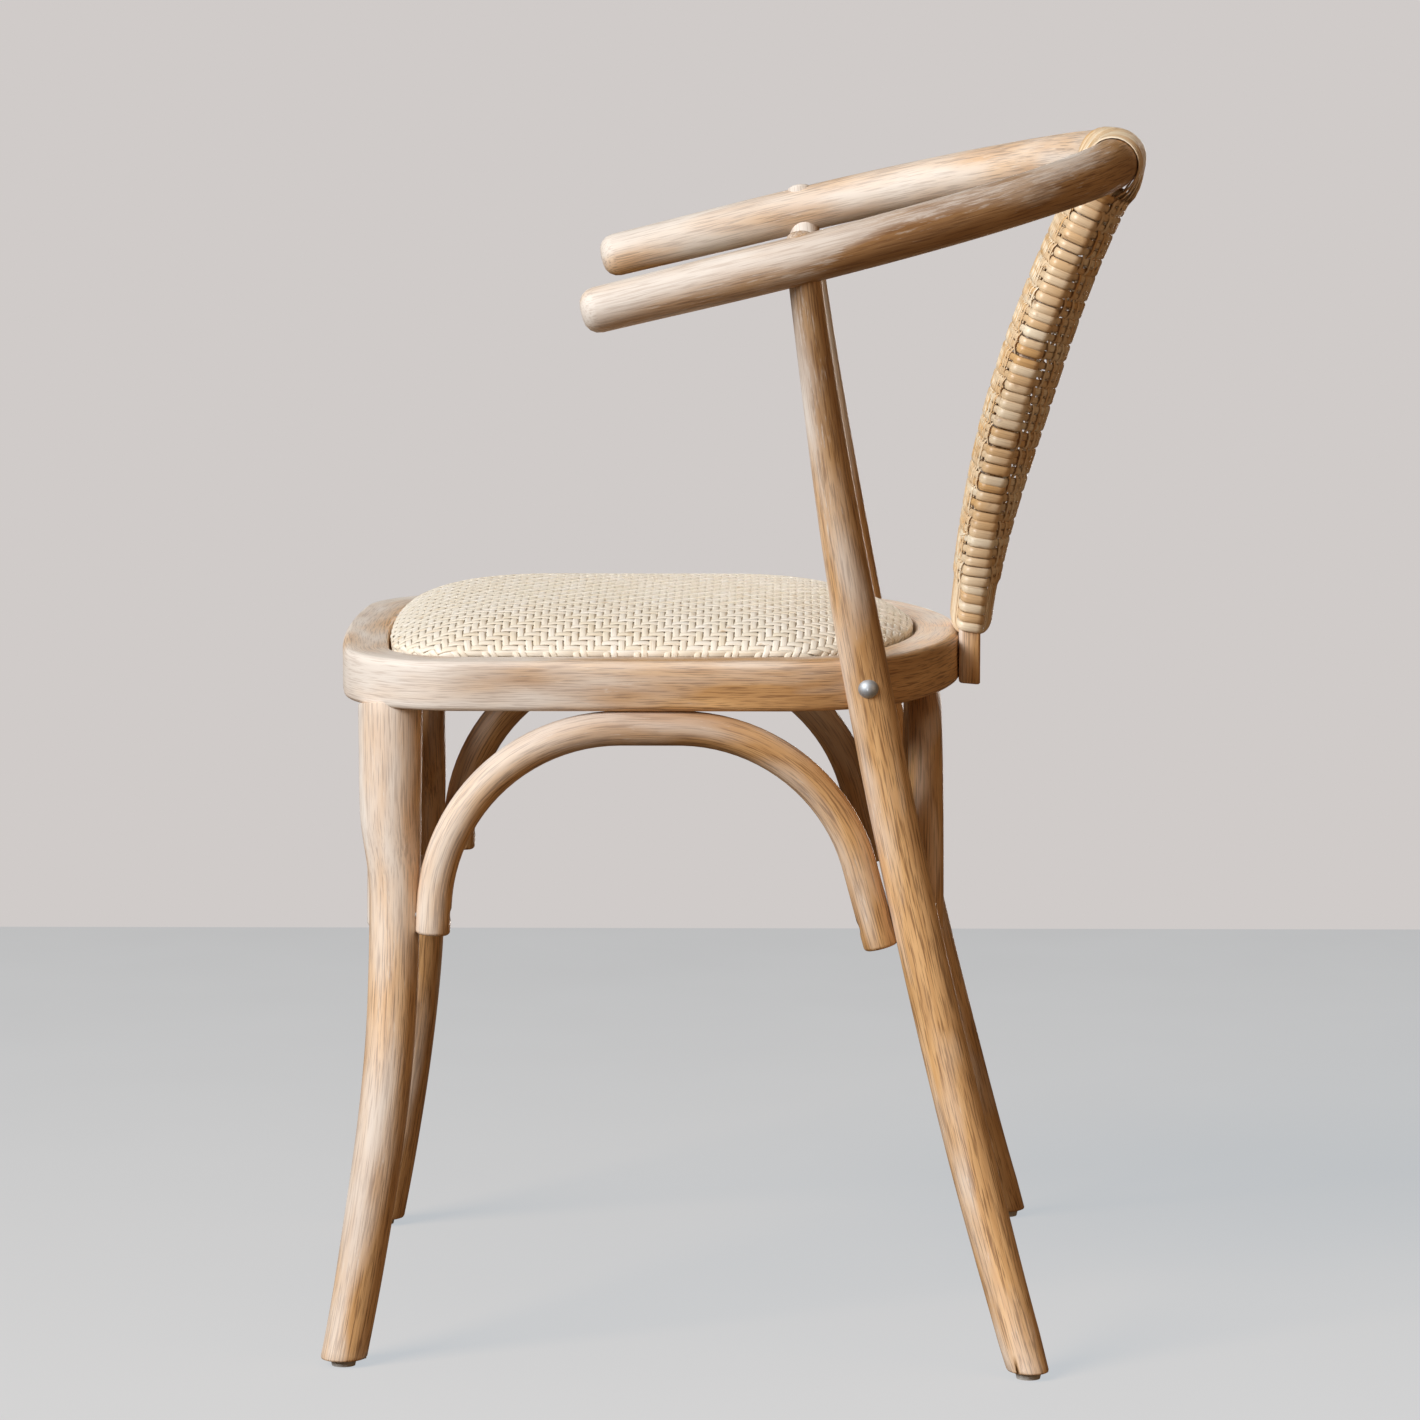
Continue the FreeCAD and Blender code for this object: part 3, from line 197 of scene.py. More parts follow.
def hang_lamp(name, place, aim, side, watts, colour):
    """A square lamp at a place, turned to face a point."""
    lamp = bpy.data.objects.new(name, bpy.data.lights.new(name, "AREA"))
    lamp.data.size = side
    lamp.data.energy = watts
    lamp.data.color = linear(colour)[:3]
    lamp.visible_camera = False
    turn = (Vector(aim) - Vector(place)).to_track_quat("-Z", "Y").to_matrix().to_4x4()
    lamp.matrix_world = Matrix.Translation(place) @ turn
    bpy.context.scene.collection.objects.link(lamp)


seat_middle = (0.0, 0.0, 0.45)
hang_lamp("side_lamp", (4.64, -5.12, 4.49), seat_middle, side=4.0, watts=830.0, colour="#FAFAFC")
hang_lamp("ceiling_lamp", (0.6, 0.0, 4.2), (0.6, 0.0, 0.0), side=4.0, watts=28.0, colour="#FFFDFB")
hang_lamp("warm_lamp", (3.2, 4.2, 1.6), seat_middle, side=3.0, watts=44.0, colour="#FFD0A0")
hang_lamp("far_lamp", (-4.7, 0.6, 0.45), seat_middle, side=1.6, watts=60.0, colour="#FFF6EC")
bpy.context.scene.view_settings.view_transform = "Standard"

# %% [markdown]
# ## The limed wood
#
# The frame is a pale, open-grained hardwood, steamed and bent, brushed, and wiped with white liming
# wax. The bend carries the grain with it, so a pattern fixed in space would cut across the rods. Each
# rod therefore stores, at every corner of its faces, how far along the rod it is and where it is
# across the rod. The material reads that as its own ruler: growth layers, fine dark lines of pores,
# slow changes from straw to brown, and white wax. Light is painted into the wax as well: more of it
# towards the front, on faces that look towards the main lamp and on a few bright spots, and painted
# shade darkens the back of the left arm and the top of its post.

# %% Growth layers of the wood
limed_bentwood, tree = new_material("limed_steam_bent_ash")
# Brushed ash under liming wax: straw and brown layers, fine dark lines of pores, a chalky white bloom.
ruler = add_node(tree, "ShaderNodeAttribute", attribute_name="grain")
# Growth layers are 2 to 3 mm thick; they are drawn 5 mm thick to show, and wander into long tongues.
layer_thick, layer_wander = 0.005, 0.030
slow = add_node(
    tree, "ShaderNodeVectorMath", {0: ruler.outputs["Vector"], 1: (6.0, 34.0, 34.0)}, operation="MULTIPLY"
)
wander = add_node(
    tree, "ShaderNodeTexNoise", {"Vector": slow.outputs[0], "Scale": 1.0, "Detail": 2.0, "Roughness": 0.5}
)
depth = add_node(
    tree, "ShaderNodeVectorMath", {0: ruler.outputs["Vector"], 1: (0.0, 0.83, 0.56)}, operation="DOT_PRODUCT"
)
bent = add_node(
    tree,
    "ShaderNodeMath",
    {0: wander.outputs[0], 1: layer_wander, 2: depth.outputs["Value"]},
    operation="MULTIPLY_ADD",
)
turns = add_node(
    tree, "ShaderNodeMath", {0: bent.outputs[0], 1: 2 * math.pi / layer_thick}, operation="MULTIPLY"
)
layers = add_node(tree, "ShaderNodeMath", {0: turns.outputs[0]}, operation="SINE")
layer_share = add_node(
    tree, "ShaderNodeMapRange", {"Value": layers.outputs[0], "From Min": -0.6, "From Max": 1.0, "To Max": 0.34}
)
straw = add_node(
    tree,
    "ShaderNodeMix",
    {0: layer_share.outputs[0], 6: linear("#E4B67E"), 7: linear("#BF8A52")},
    data_type="RGBA",
)
print("wood nodes for the layers:", len(tree.nodes))

# %% Drift of the tone
# The tone of the wood drifts over some 150 mm.
drift = add_node(
    tree, "ShaderNodeVectorMath", {0: ruler.outputs["Vector"], 1: (6.5, 26.0, 26.0)}, operation="MULTIPLY"
)
tone = add_node(
    tree, "ShaderNodeTexNoise", {"Vector": drift.outputs[0], "Scale": 1.0, "Detail": 2.5, "Roughness": 0.55}
)
tone_share = add_node(
    tree, "ShaderNodeMapRange", {"Value": tone.outputs[0], "From Min": 0.42, "From Max": 0.74, "To Max": 0.7}
)
browned = add_node(
    tree,
    "ShaderNodeMix",
    {0: tone_share.outputs[0], 6: straw.outputs[2], 7: linear("#98693A")},
    data_type="RGBA",
)
print("wood nodes with the tone:", len(tree.nodes))

# %% Pores
# Pores are 0.3 mm wide; they are drawn as lines 1 mm wide and 26 mm long, so that they show.
thin = add_node(
    tree, "ShaderNodeVectorMath", {0: ruler.outputs["Vector"], 1: (38.0, 1000.0, 1000.0)}, operation="MULTIPLY"
)
pores = add_node(
    tree, "ShaderNodeTexNoise", {"Vector": thin.outputs[0], "Scale": 1.0, "Detail": 2.0, "Roughness": 0.6}
)
pore_share = add_node(
    tree, "ShaderNodeMapRange", {"Value": pores.outputs[0], "From Min": 0.50, "From Max": 0.63, "To Max": 0.72}
)
pored = add_node(
    tree,
    "ShaderNodeMix",
    {0: pore_share.outputs[0], 6: browned.outputs[2], 7: linear("#7A522E")},
    data_type="RGBA",
)
print("wood nodes with the pores:", len(tree.nodes))

# %% Where the wax lies, and painted shade
# Liming wax lies as a thin bloom over patches some 110 mm long.
patch = add_node(
    tree, "ShaderNodeVectorMath", {0: ruler.outputs["Vector"], 1: (9.0, 42.0, 42.0)}, operation="MULTIPLY"
)
wax_patches = add_node(
    tree, "ShaderNodeTexNoise", {"Vector": patch.outputs[0], "Scale": 1.0, "Detail": 2.0, "Roughness": 0.5}
)
place = add_node(tree, "ShaderNodeTexCoord")
ways = add_node(tree, "ShaderNodeSeparateXYZ", {0: place.outputs["Object"]})
# Painted shade: the back of the left arm and the top of its post are darkened; it fades out over a hand's width
# or two.
shaded_end = add_node(
    tree, "ShaderNodeVectorMath", {0: place.outputs["Object"], 1: (0.24, 0.16, 0.74)}, operation="DISTANCE"
)
painted_shade_share = add_node(
    tree,
    "ShaderNodeMapRange",
    {"Value": shaded_end.outputs["Value"], "From Min": 0.10, "From Max": 0.30, "To Min": 0.42, "To Max": 0.0},
)
with_painted_shade = add_node(
    tree,
    "ShaderNodeMix",
    {0: painted_shade_share.outputs[0], 6: pored.outputs[2], 7: linear("#6B4A30")},
    data_type="RGBA",
)
print("wood nodes with the dark end:", len(tree.nodes))

# %% Painted light laid on as more wax
# Painted light: extra wax is laid along the right arm, on the left arm's tip and on the left front of the ring,
# where the light falls brightest; each place has its middle, its reach in metres and the wax that it adds.
lit_wax_spots = (
    ((-0.22, 0.08, 0.72), 0.45, 0.20),
    ((0.24, -0.09, 0.68), 0.18, 0.12),
    ((0.19, -0.20, 0.435), 0.13, 0.18),
)
more_wax_as_light = []
for spot, reach, amount in lit_wax_spots:
    away = add_node(tree, "ShaderNodeVectorMath", {0: place.outputs["Object"], 1: spot}, operation="DISTANCE")
    share = add_node(
        tree,
        "ShaderNodeMapRange",
        {"Value": away.outputs["Value"], "From Min": 0.05, "From Max": reach, "To Min": amount, "To Max": 0.0},
    )
    more_wax_as_light.append(share)
# Painted light: the wax is drawn heavier at the front and thins out over the half metre to the back, as the
# light falls off.
front_light_wax = add_node(
    tree,
    "ShaderNodeMapRange",
    {"Value": ways.outputs["Y"], "From Min": -0.27, "From Max": 0.24, "To Min": 0.07, "To Max": -0.10},
)
# Painted light: faces that look to the front and up, towards the main lamp, get more wax and read paler; faces
# that look away get less.
lamp_facing = add_node(
    tree, "ShaderNodeVectorMath", {0: place.outputs["Normal"], 1: (0.25, -0.75, 0.6)}, operation="DOT_PRODUCT"
)
facing_light_wax = add_node(
    tree,
    "ShaderNodeMapRange",
    {"Value": lamp_facing.outputs["Value"], "From Min": -0.6, "From Max": 0.9, "To Min": -0.15, "To Max": 0.13},
)
wax_and_light_level = wax_patches
for extra in more_wax_as_light + [front_light_wax, facing_light_wax]:
    wax_and_light_level = add_node(
        tree, "ShaderNodeMath", {0: wax_and_light_level.outputs[0], 1: extra.outputs[0]}, operation="ADD"
    )
print("wood nodes with the wax's places:", len(tree.nodes))

# %% Bloom and flecks of wax, with the painted light
# The wax patches, with the painted light added to them, show as a white bloom.
bloom_and_light = add_node(
    tree,
    "ShaderNodeMapRange",
    {"Value": wax_and_light_level.outputs[0], "From Min": 0.42, "From Max": 0.80, "To Max": 0.85},
)
# Within its patches the wax is thick in flecks 1.6 mm wide and 17 mm long.
fleck = add_node(
    tree, "ShaderNodeVectorMath", {0: ruler.outputs["Vector"], 1: (60.0, 620.0, 620.0)}, operation="MULTIPLY"
)
wax_flecks = add_node(
    tree, "ShaderNodeTexNoise", {"Vector": fleck.outputs[0], "Scale": 1.0, "Detail": 3.0, "Roughness": 0.7}
)
fleck_sum = add_node(
    tree, "ShaderNodeMath", {0: wax_flecks.outputs[0], 1: wax_and_light_level.outputs[0]}, operation="ADD"
)
# At the back of the left arm, inside the painted shade, the wood is scuffed and wax caught in the scuffs.
scuffed = add_node(
    tree,
    "ShaderNodeMath",
    {0: painted_shade_share.outputs[0], 1: 0.30, 2: fleck_sum.outputs[0]},
    operation="MULTIPLY_ADD",
)
fleck_share = add_node(
    tree,
    "ShaderNodeMapRange",
    {"Value": scuffed.outputs[0], "From Min": 1.09, "From Max": 1.26, "To Max": 0.6},
)
wax_and_light = add_node(
    tree, "ShaderNodeMath", {0: bloom_and_light.outputs[0], 1: fleck_share.outputs[0]}, operation="MAXIMUM"
)
limed_and_lit = add_node(
    tree,
    "ShaderNodeMix",
    {0: wax_and_light.outputs[0], 6: with_painted_shade.outputs[2], 7: linear("#ECE6DD")},
    data_type="RGBA",
)
print("wood nodes with the wax:", len(tree.nodes))

# %% Finished wood
# Through the bloom the pores still show as fine tan lines.
line_share = add_node(
    tree, "ShaderNodeMapRange", {"Value": pores.outputs[0], "From Min": 0.50, "From Max": 0.64, "To Max": 0.26}
)
lined = add_node(
    tree,
    "ShaderNodeMix",
    {0: line_share.outputs[0], 6: limed_and_lit.outputs[2], 7: linear("#A47C54")},
    data_type="RGBA",
)
wood_rough = add_node(
    tree, "ShaderNodeMapRange", {"Value": wax_and_light.outputs[0], "To Min": 0.42, "To Max": 0.62}
)
wood_relief = add_node(
    tree, "ShaderNodeBump", {"Strength": 0.45, "Distance": 0.0006, "Height": pores.outputs[0]}, invert=True
)
wood_skin = add_node(
    tree,
    "ShaderNodeBsdfPrincipled",
    {
        "Base Color": lined.outputs[2],
        "Roughness": wood_rough.outputs[0],
        "IOR": 1.5,
        "Normal": wood_relief.outputs[0],
    },
)
add_node(tree, "ShaderNodeOutputMaterial", {"Surface": wood_skin.outputs[0]})
print("wood nodes:", len(tree.nodes))

# %% [markdown]
# ## Bending a rod
#
# A bent rod is a flat grid rolled round a section and carried along a line. The line is drawn as a
# bender would say it: start here, go this far straight, then turn this much. Rolling one grid keeps
# its rows along the rod, which is what the grain needs, and welding its seam and its two ends makes
# a closed skin.

# %% Path helpers
def walk(spot, head, axis, distance, length, turn):
    """The place and heading after some distance on one move."""
    if turn == 0:
        return spot + head * distance, head
    swing = Matrix.Rotation(turn * distance / length, 3, axis)
    centre = spot + axis.cross(head) * (length / turn)
    return centre + swing @ (spot - centre), swing @ head


def draw_path(start, heading, axis, moves):
    """A flat line from a start: moves are (length in metres, turn in degrees about the axis)."""
    axis = Vector(axis).normalized()
    stops = [(0.0, Vector(start), Vector(heading).normalized(), 0.0, 0.0)]
    for length, turn in moves:
        done, spot, head = stops[-1][:3]
        stops[-1] = (done, spot, head, length, math.radians(turn))
        spot, head = walk(spot, head, axis, length, length, math.radians(turn))
        stops.append((done + length, spot, head, 0.0, 0.0))

    def at(distance):
        passed = [stop for stop in stops[:-1] if stop[0] <= distance + 1e-12]
        done, spot, head, length, turn = max(passed, key=lambda stop: stop[0], default=stops[0])
        spot, head = walk(spot, head, axis, distance - done, length, turn)
        return spot, axis.cross(head), axis

    return at, stops[-1][0]


quarter, quarter_length = draw_path((0, 0, 0), (1, 0, 0), (0, 0, 1), [(math.pi / 2, 90)])
print("a quarter turn of radius 1 m ends at", [round(c, 3) for c in quarter(quarter_length)[0]])

# %% Arc and blend helpers
def arc_through(start, middle, end):
    """Start, heading, axis and one move for the arc through three points."""
    start, middle, end = Vector(start), Vector(middle), Vector(end)
    axis = (middle - start).cross(end - middle).normalized()
    first, second = middle - start, end - start
    normal = first.cross(second)
    centre = start + (
        normal.cross(first) * second.length_squared + second.cross(normal) * first.length_squared
    ) / (2 * normal.length_squared)
    radius = (start - centre).length
    turn = 2 * math.asin((end - start).length / 2 / radius)
    return start, axis.cross(start - centre), axis, (radius * turn, math.degrees(turn))


def blend_between(stops, distance):
    """A value that eases from one (distance, value) stop to the next."""
    for (d0, r0), (d1, r1) in zip(stops, stops[1:]):
        if distance <= d1:
            share = min(1.0, max(0.0, (distance - d0) / (d1 - d0)))
            return r0 + (r1 - r0) * share * share * (3 - 2 * share)
    return stops[-1][1]


print("half way between 1 and 2:", blend_between([(0, 1.0), (1, 2.0)], 0.5))

# %% Rolling helpers
def rod_rings(start, finish, radius, step, start_round, end_round):
    """Rings of a rod as (distance, radius), with rounded edges and flat closed ends."""
    quarter = [k * math.pi / 8 for k in range(5)]
    rings = [(start, 0.0)]
    rings += [
        (start + start_round * (1 - math.cos(a)), radius(start) - start_round * (1 - math.sin(a)))
        for a in quarter
    ]
    span = finish - start - start_round - end_round
    count = max(2, round(span / step))
    for k in range(1, count):
        distance = start + start_round + span * k / count
        rings.append((distance, radius(distance)))
    rings += [
        (finish - end_round * (1 - math.cos(a)), radius(finish) - end_round * (1 - math.sin(a)))
        for a in reversed(quarter)
    ]
    return rings + [(finish, 0.0)]


def roll_along(path, rings, section, grain_start):
    """Rolls a grid round a section and along a path, and welds its seam and ends."""
    skin = bmesh.new()
    around, along = len(section), len(rings) - 1
    bmesh.ops.create_grid(skin, x_segments=around, y_segments=along, size=0.5)
    grain = skin.loops.layers.float_vector.new("grain")
    for vert in skin.verts:
        part = section[round((vert.co.x + 0.5) * around) % around]
        distance, reach = rings[round((vert.co.y + 0.5) * along)]
        spot, across, upward = path(distance)
        side, rise = part[0] * reach, part[1] * reach
        vert.co = spot + across * side + upward * rise
        for loop in vert.link_loops:
            loop[grain] = (grain_start + distance, side, rise)
    bmesh.ops.remove_doubles(skin, verts=skin.verts, dist=2e-6)
    bmesh.ops.recalc_face_normals(skin, faces=skin.faces)
    return skin


sample_rings = rod_rings(0.0, 0.1, lambda distance: 0.015, step=0.01, start_round=0.001, end_round=0.001)
print("a rod 100 mm long has", len(sample_rings), "rings")

# %% Section and piece helpers
def circle_section(points):
    """A round section of radius 1."""
    return [(math.cos(2 * math.pi * k / points), math.sin(2 * math.pi * k / points)) for k in range(points)]


def keep_piece(skin, name, material, slot, *nodes):
    """Makes a finished object of a mesh, with its finish, its place and the CAD nodes it stands for."""
    piece = bpy.data.objects.new(name, bpy.data.meshes.new(name))
    skin.to_mesh(piece.data)
    skin.free()
    piece.data.shade_smooth()
    piece.data.materials.append(material)
    bpy.context.scene.collection.objects.link(piece)
    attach(piece, "root")
    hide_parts(*nodes)
    print(name, len(piece.data.polygons), "faces", [round(d, 3) for d in piece.dimensions])
    return piece


print("a rod of 36 sides has", len(circle_section(36)), "points round it")

# %% [markdown]
# ## Arm and back rail
#
# One long rod makes both arms and the back: straight, half a circle, straight, all in one plane that
# rises to the back. On the real rail the arms are shaved a little thinner towards their tips and the
# back is fuller, and the tips are rounded over by hand.

# %% Arm and back rail
rail_tilt = math.radians(13.7)
rail_slope = Vector((0, math.cos(rail_tilt), math.sin(rail_tilt)))
rail_axis = Vector((0, -math.sin(rail_tilt), math.cos(rail_tilt)))
rail_centre = Vector((0, 0.0157998, 0.7043957))
rail_bend = 0.239
arm = 0.117
rail_path, rail_length = draw_path(
    rail_centre + Vector((rail_bend, 0, 0)) - rail_slope * arm,
    rail_slope,
    rail_axis,
    [(arm, 0), (math.pi * rail_bend, 180), (arm, 0)],
)


def rail_radius(distance):
    """Thin at the arm tips, fuller at the back."""
    from_tip = min(distance, rail_length - distance)
    return blend_between([(0, 0.0146), (0.11, 0.0155), (0.30, 0.0158), (0.42, 0.0164)], from_tip)


tip_round = 0.0105
rail_rings = rod_rings(0.0, rail_length, rail_radius, step=0.009, start_round=tip_round, end_round=tip_round)
rail_skin = roll_along(rail_path, rail_rings, circle_section(36), grain_start=0.0)
keep_piece(rail_skin, "arm_and_back_rail", limed_bentwood, "limed_wood", "back_rail")

# %% [markdown]
# ## Rear posts
#
# Each rear post is one gentle bow from the foot, in past the seat ring, and out again to the rail. It
# thins above the seat. Its round tenon goes right through the rail and is rounded off as a low button
# on the arm. Post and tenon are one path here, with a step in radius inside the rail. The foot is made
# too long and sawn off level, as a chair maker does it.

# %% Level feet
foot_level = 0.0045
foot_spare = 0.014


def trim_foot(skin, centre, grain_start):
    """Saws a rod off level above its glide, closes the cut and takes off its sharp edge."""
    everything = skin.verts[:] + skin.edges[:] + skin.faces[:]
    cut = bmesh.ops.bisect_plane(
        skin,
        geom=everything,
        dist=1e-6,
        plane_co=(0, 0, foot_level),
        plane_no=(0, 0, -1),
        clear_outer=True,
    )
    rim = [part for part in cut["geom_cut"] if isinstance(part, bmesh.types.BMEdge)]
    cap = bmesh.ops.contextual_create(skin, geom=rim)["faces"]
    grain = skin.loops.layers.float_vector["grain"]
    for face in cap:
        for loop in face.loops:
            loop[grain] = (grain_start, loop.vert.co.x - centre[0], loop.vert.co.y - centre[1])
    bmesh.ops.bevel(
        skin,
        geom=cap[0].edges[:],
        offset=0.0016,
        offset_type="OFFSET",
        segments=2,
        profile=0.5,
        affect="EDGES",
        material=-1,
    )
    bmesh.ops.recalc_face_normals(skin, faces=skin.faces)


print("feet stand", foot_level * 1000, "mm off the floor, on their glides")

# %% Bow of a rear post
post_foot = (0.258, 0.1855)


def post_shape(side):
    """The path of a post and the length of its bow; past the bow comes the upright tenon."""
    start, heading, axis, bow = arc_through(
        (side * post_foot[0], post_foot[1], foot_level),
        (side * 0.18146, 0.083, 0.434),
        (side * 0.23764, 0.0405, 0.71042),
    )
    bowed, length = draw_path(start, heading, axis, [bow])
    top, across, upward = bowed(length)
    climb = across.cross(upward)
    climb = Vector((0, climb.y, climb.z)).normalized()
    climb = climb if climb.z > 0 else -climb

    def at(distance):
        if distance <= length:
            return bowed(distance)
        return top + climb * (distance - length), across, upward

    return at, length


def post_radius(distance):
    """Full to the seat ring, then thinner to the rail."""
    stops = [(0, 0.0128), (0.02, 0.0136), (0.16, 0.0149), (0.44, 0.0150), (0.745, 0.0103)]
    return blend_between(stops, distance)


print("a post's bow is", round(post_shape(1)[1], 3), "m long")

# %% Rear posts with their tenons
tenon_radius, tenon_length, button_rise = 0.0084, 0.0140, 0.0031
for side, hand in ((1, "left"), (-1, "right")):
    post_path, post_length = post_shape(side)
    shoulder, tenon_end = post_length - 0.010, post_length + tenon_length
    rings = rod_rings(-foot_spare, shoulder, post_radius, step=0.012, start_round=0.0005, end_round=0.001)[:-1]
    rings += [(post_length, tenon_radius), (tenon_end, tenon_radius)]
    for angle in (0.35, 0.7, 1.05, 1.35):
        rings.append((tenon_end + button_rise * math.sin(angle), tenon_radius * math.cos(angle)))
    rings.append((tenon_end + button_rise, 0.0))
    post_skin = roll_along(post_path, rings, circle_section(32), grain_start=2.0 + side)
    trim_foot(post_skin, (side * post_foot[0], post_foot[1]), grain_start=2.0 + side)
    keep_piece(post_skin, hand + "_bowed_post", limed_bentwood, "limed_wood", hand + "_rear_post")

# %% [markdown]
# ## Front legs
#
# A front leg is thick where it meets the ring. A hand's width below, its front is cut away to a slimmer
# leg, while its back stays straight, and then it runs down and sweeps forward to the foot. A few stops
# of radius with eased steps between give the shoulder; where the radius shrinks, the middle of the leg
# moves back by as much, so that only the front is cut.

# %% Sizes of a front leg
leg_top, leg_foot = (0.152, -0.2235, 0.418), (0.225, -0.2525)
leg_out, leg_down = 0.1738533, 0.9847716
sweep_height, sweep_degrees, sweep_radius = 0.290, 2 * 5.712257, 1.4636496
leg_straight = (leg_top[2] - sweep_height) / leg_down
leg_sweep = math.radians(sweep_degrees) * sweep_radius
leg_stops = [(0, 0.0207), (0.045, 0.0203), (0.068, 0.0198), (0.122, 0.0162), (0.30, 0.0156)]
leg_stops.append((leg_straight + leg_sweep, 0.0146))
leg_shift = [(0, -0.0006), (0.06, -0.0004), (0.122, 0.0026), (0.20, 0.0026), (0.36, 0.0)]
print("a leg runs", round(leg_straight, 3), "m straight, then", round(leg_sweep, 3), "m in the sweep")

# %% Front legs
for side, hand in ((1, "left"), (-1, "right")):
    heading = Vector((side * leg_out, 0, -leg_down))
    leg_line, leg_length = draw_path(
        (side * leg_top[0], leg_top[1], leg_top[2]),
        heading,
        heading.cross(Vector((0, -1, 0))),
        [(leg_straight, 0), (leg_sweep, sweep_degrees)],
    )

    def leg_path(distance):
        spot, across, upward = leg_line(distance)
        return spot + Vector((0, blend_between(leg_shift, distance), 0)), across, upward

    def leg_radius(distance):
        return blend_between(leg_stops, distance)

    leg_rings = rod_rings(
        0.0, leg_length + foot_spare, leg_radius, step=0.008, start_round=0.0005, end_round=0.0005
    )
    leg_skin = roll_along(leg_path, leg_rings, circle_section(32), grain_start=6.0 + side)
    trim_foot(leg_skin, (side * leg_foot[0], leg_foot[1]), grain_start=6.6 + side)
    keep_piece(leg_skin, hand + "_swept_leg", limed_bentwood, "limed_wood", hand + "_front_leg")

# %% [markdown]
# ## Seat ring
#
# The ring is a bent band: round front corners, a gently bowed front and back, a rounded outer edge and,
# inside, a step that carries the seat board. Its section is swept once round the outline and welded to
# itself behind the splat, where the real band's scarf joint is.

# %% Seat outline
seat_half, seat_front, seat_rear = 0.190, -0.2615, 0.146
front_round, front_bow, rear_round, rear_bow = 0.080, 0.005, 0.095, 0.023


def bow_of(across, corner, bow):
    """Radius of a bowed side and how far it turns, in degrees, from its middle to its corner."""
    radius = (across**2 + (corner + bow) ** 2 - corner**2) / (2 * bow)
    return radius, math.degrees(math.asin(across / (radius - corner)))


back_bend, back_swing = bow_of(seat_half - rear_round, rear_round, rear_bow)
front_bend, front_swing = bow_of(seat_half - front_round, front_round, front_bow)
seat_side = (seat_rear - rear_round - rear_bow) - (seat_front + front_round + front_bow)


def seat_outline(inset):
    """The seat's outline, some way in from the ring's outside, from the middle of the back."""
    half = [
        ((back_bend - inset) * math.radians(back_swing), -back_swing),
        ((rear_round - inset) * math.radians(90 - back_swing), -(90 - back_swing)),
        (seat_side, 0),
        ((front_round - inset) * math.radians(90 - front_swing), -(90 - front_swing)),
        ((front_bend - inset) * math.radians(front_swing), -front_swing),
    ]
    return draw_path((0, seat_rear - inset, 0), (1, 0, 0), (0, 0, 1), half + half[::-1])


ring_path, ring_length = seat_outline(0.0)
ring_gap = (ring_path(ring_length)[0] - ring_path(0)[0]).length
print("seat ring", round(ring_length, 3), "m round, closes to", ring_gap)

# %% Seat ring
def rounded(centre, radius, first, last, count=4):
    """Points of a rounded edge between two angles in degrees."""
    angles = [math.radians(first + (last - first) * k / count) for k in range(count + 1)]
    return [(centre[0] + radius * math.cos(a), centre[1] + radius * math.sin(a)) for a in angles]


# The section goes up the outside, over the top, down into the step and back underneath; the points are
# how far out from the outline and how high.
ring_section = rounded((-0.004, 0.422), 0.004, -90, 0) + [(0.0, 0.430), (0.0, 0.438)]
ring_section += rounded((-0.005, 0.445), 0.005, 0, 90) + [(-0.014, 0.450), (-0.022, 0.450)]
ring_section += rounded((-0.0275, 0.4475), 0.0025, 90, 180) + [(-0.030, 0.437), (-0.039, 0.437)]
ring_section += rounded((-0.037, 0.420), 0.002, 180, 270) + [(-0.028, 0.418), (-0.016, 0.418)]
ring_steps = 220
ring_rings = [(ring_length * k / ring_steps, 1.0) for k in range(ring_steps + 1)]
ring_skin = roll_along(ring_path, ring_rings, ring_section, grain_start=10.0)
keep_piece(ring_skin, "bent_seat_ring", limed_bentwood, "limed_wood", "seat_frame")

# %% [markdown]
# ## Braces
#
# Four bent rods stiffen the frame: each starts on a leg, turns over in a wide arch and touches the
# ring's underside. A screw is sunk into each end from the inside of the arch, so each end has a small
# bored hole with a screw head at its bottom. A boolean with a round cutter bores it, because a drill
# does just that; the cutter is then thrown away.

# %% Brace paths
brace_radius = 0.01125
brace_top = 0.4066
brace_bend = 0.119969


def arch_path(first, last, along, aside):
    """A brace in an upright plane; each end is (place along the plane, height, lean in degrees)."""
    legs = []
    reach = 0.0
    for _, height, lean in (first, last):
        lean = math.radians(lean)
        climb = brace_top - height - brace_bend * (1 - math.sin(lean))
        legs.append((climb / math.cos(lean), brace_bend * (math.pi / 2 - lean), math.degrees(lean) - 90))
        reach += climb * math.tan(lean) + brace_bend * math.cos(lean)
    (rise, rise_bend, rise_turn), (drop, drop_bend, drop_turn) = legs
    flat = last[0] - first[0] - reach
    lean = math.radians(first[2])
    heading = along * math.sin(lean) + Vector((0, 0, math.cos(lean)))
    start = along * first[0] + Vector((0, 0, first[1])) + aside
    moves = [(rise, 0), (rise_bend, rise_turn), (flat, 0), (drop_bend, drop_turn), (drop, 0)]
    return draw_path(start, heading, along.cross(Vector((0, 0, 1))), moves)


sideways, backwards = Vector((1, 0, 0)), Vector((0, 1, 0))
leg_end, post_end = (-0.196352, 0.273, 4), (0.092098, 0.265, 15)
braces = {
    "left_side_brace": (leg_end, post_end, backwards, sideways * 0.182267),
    "right_side_brace": (leg_end, post_end, backwards, sideways * -0.182267),
    "front_brace": ((-0.150349, 0.273, 4), (0.150349, 0.273, 4), sideways, backwards * -0.228602),
    "rear_brace": ((-0.160246, 0.273, 4), (0.160246, 0.273, 4), sideways, backwards * 0.121047),
}
print("braces:", ", ".join(braces))

# %% Drill
screw_rise = 0.0125
bore_radius = 0.00415
bore_floor = 0.0080
drill_length = 0.010


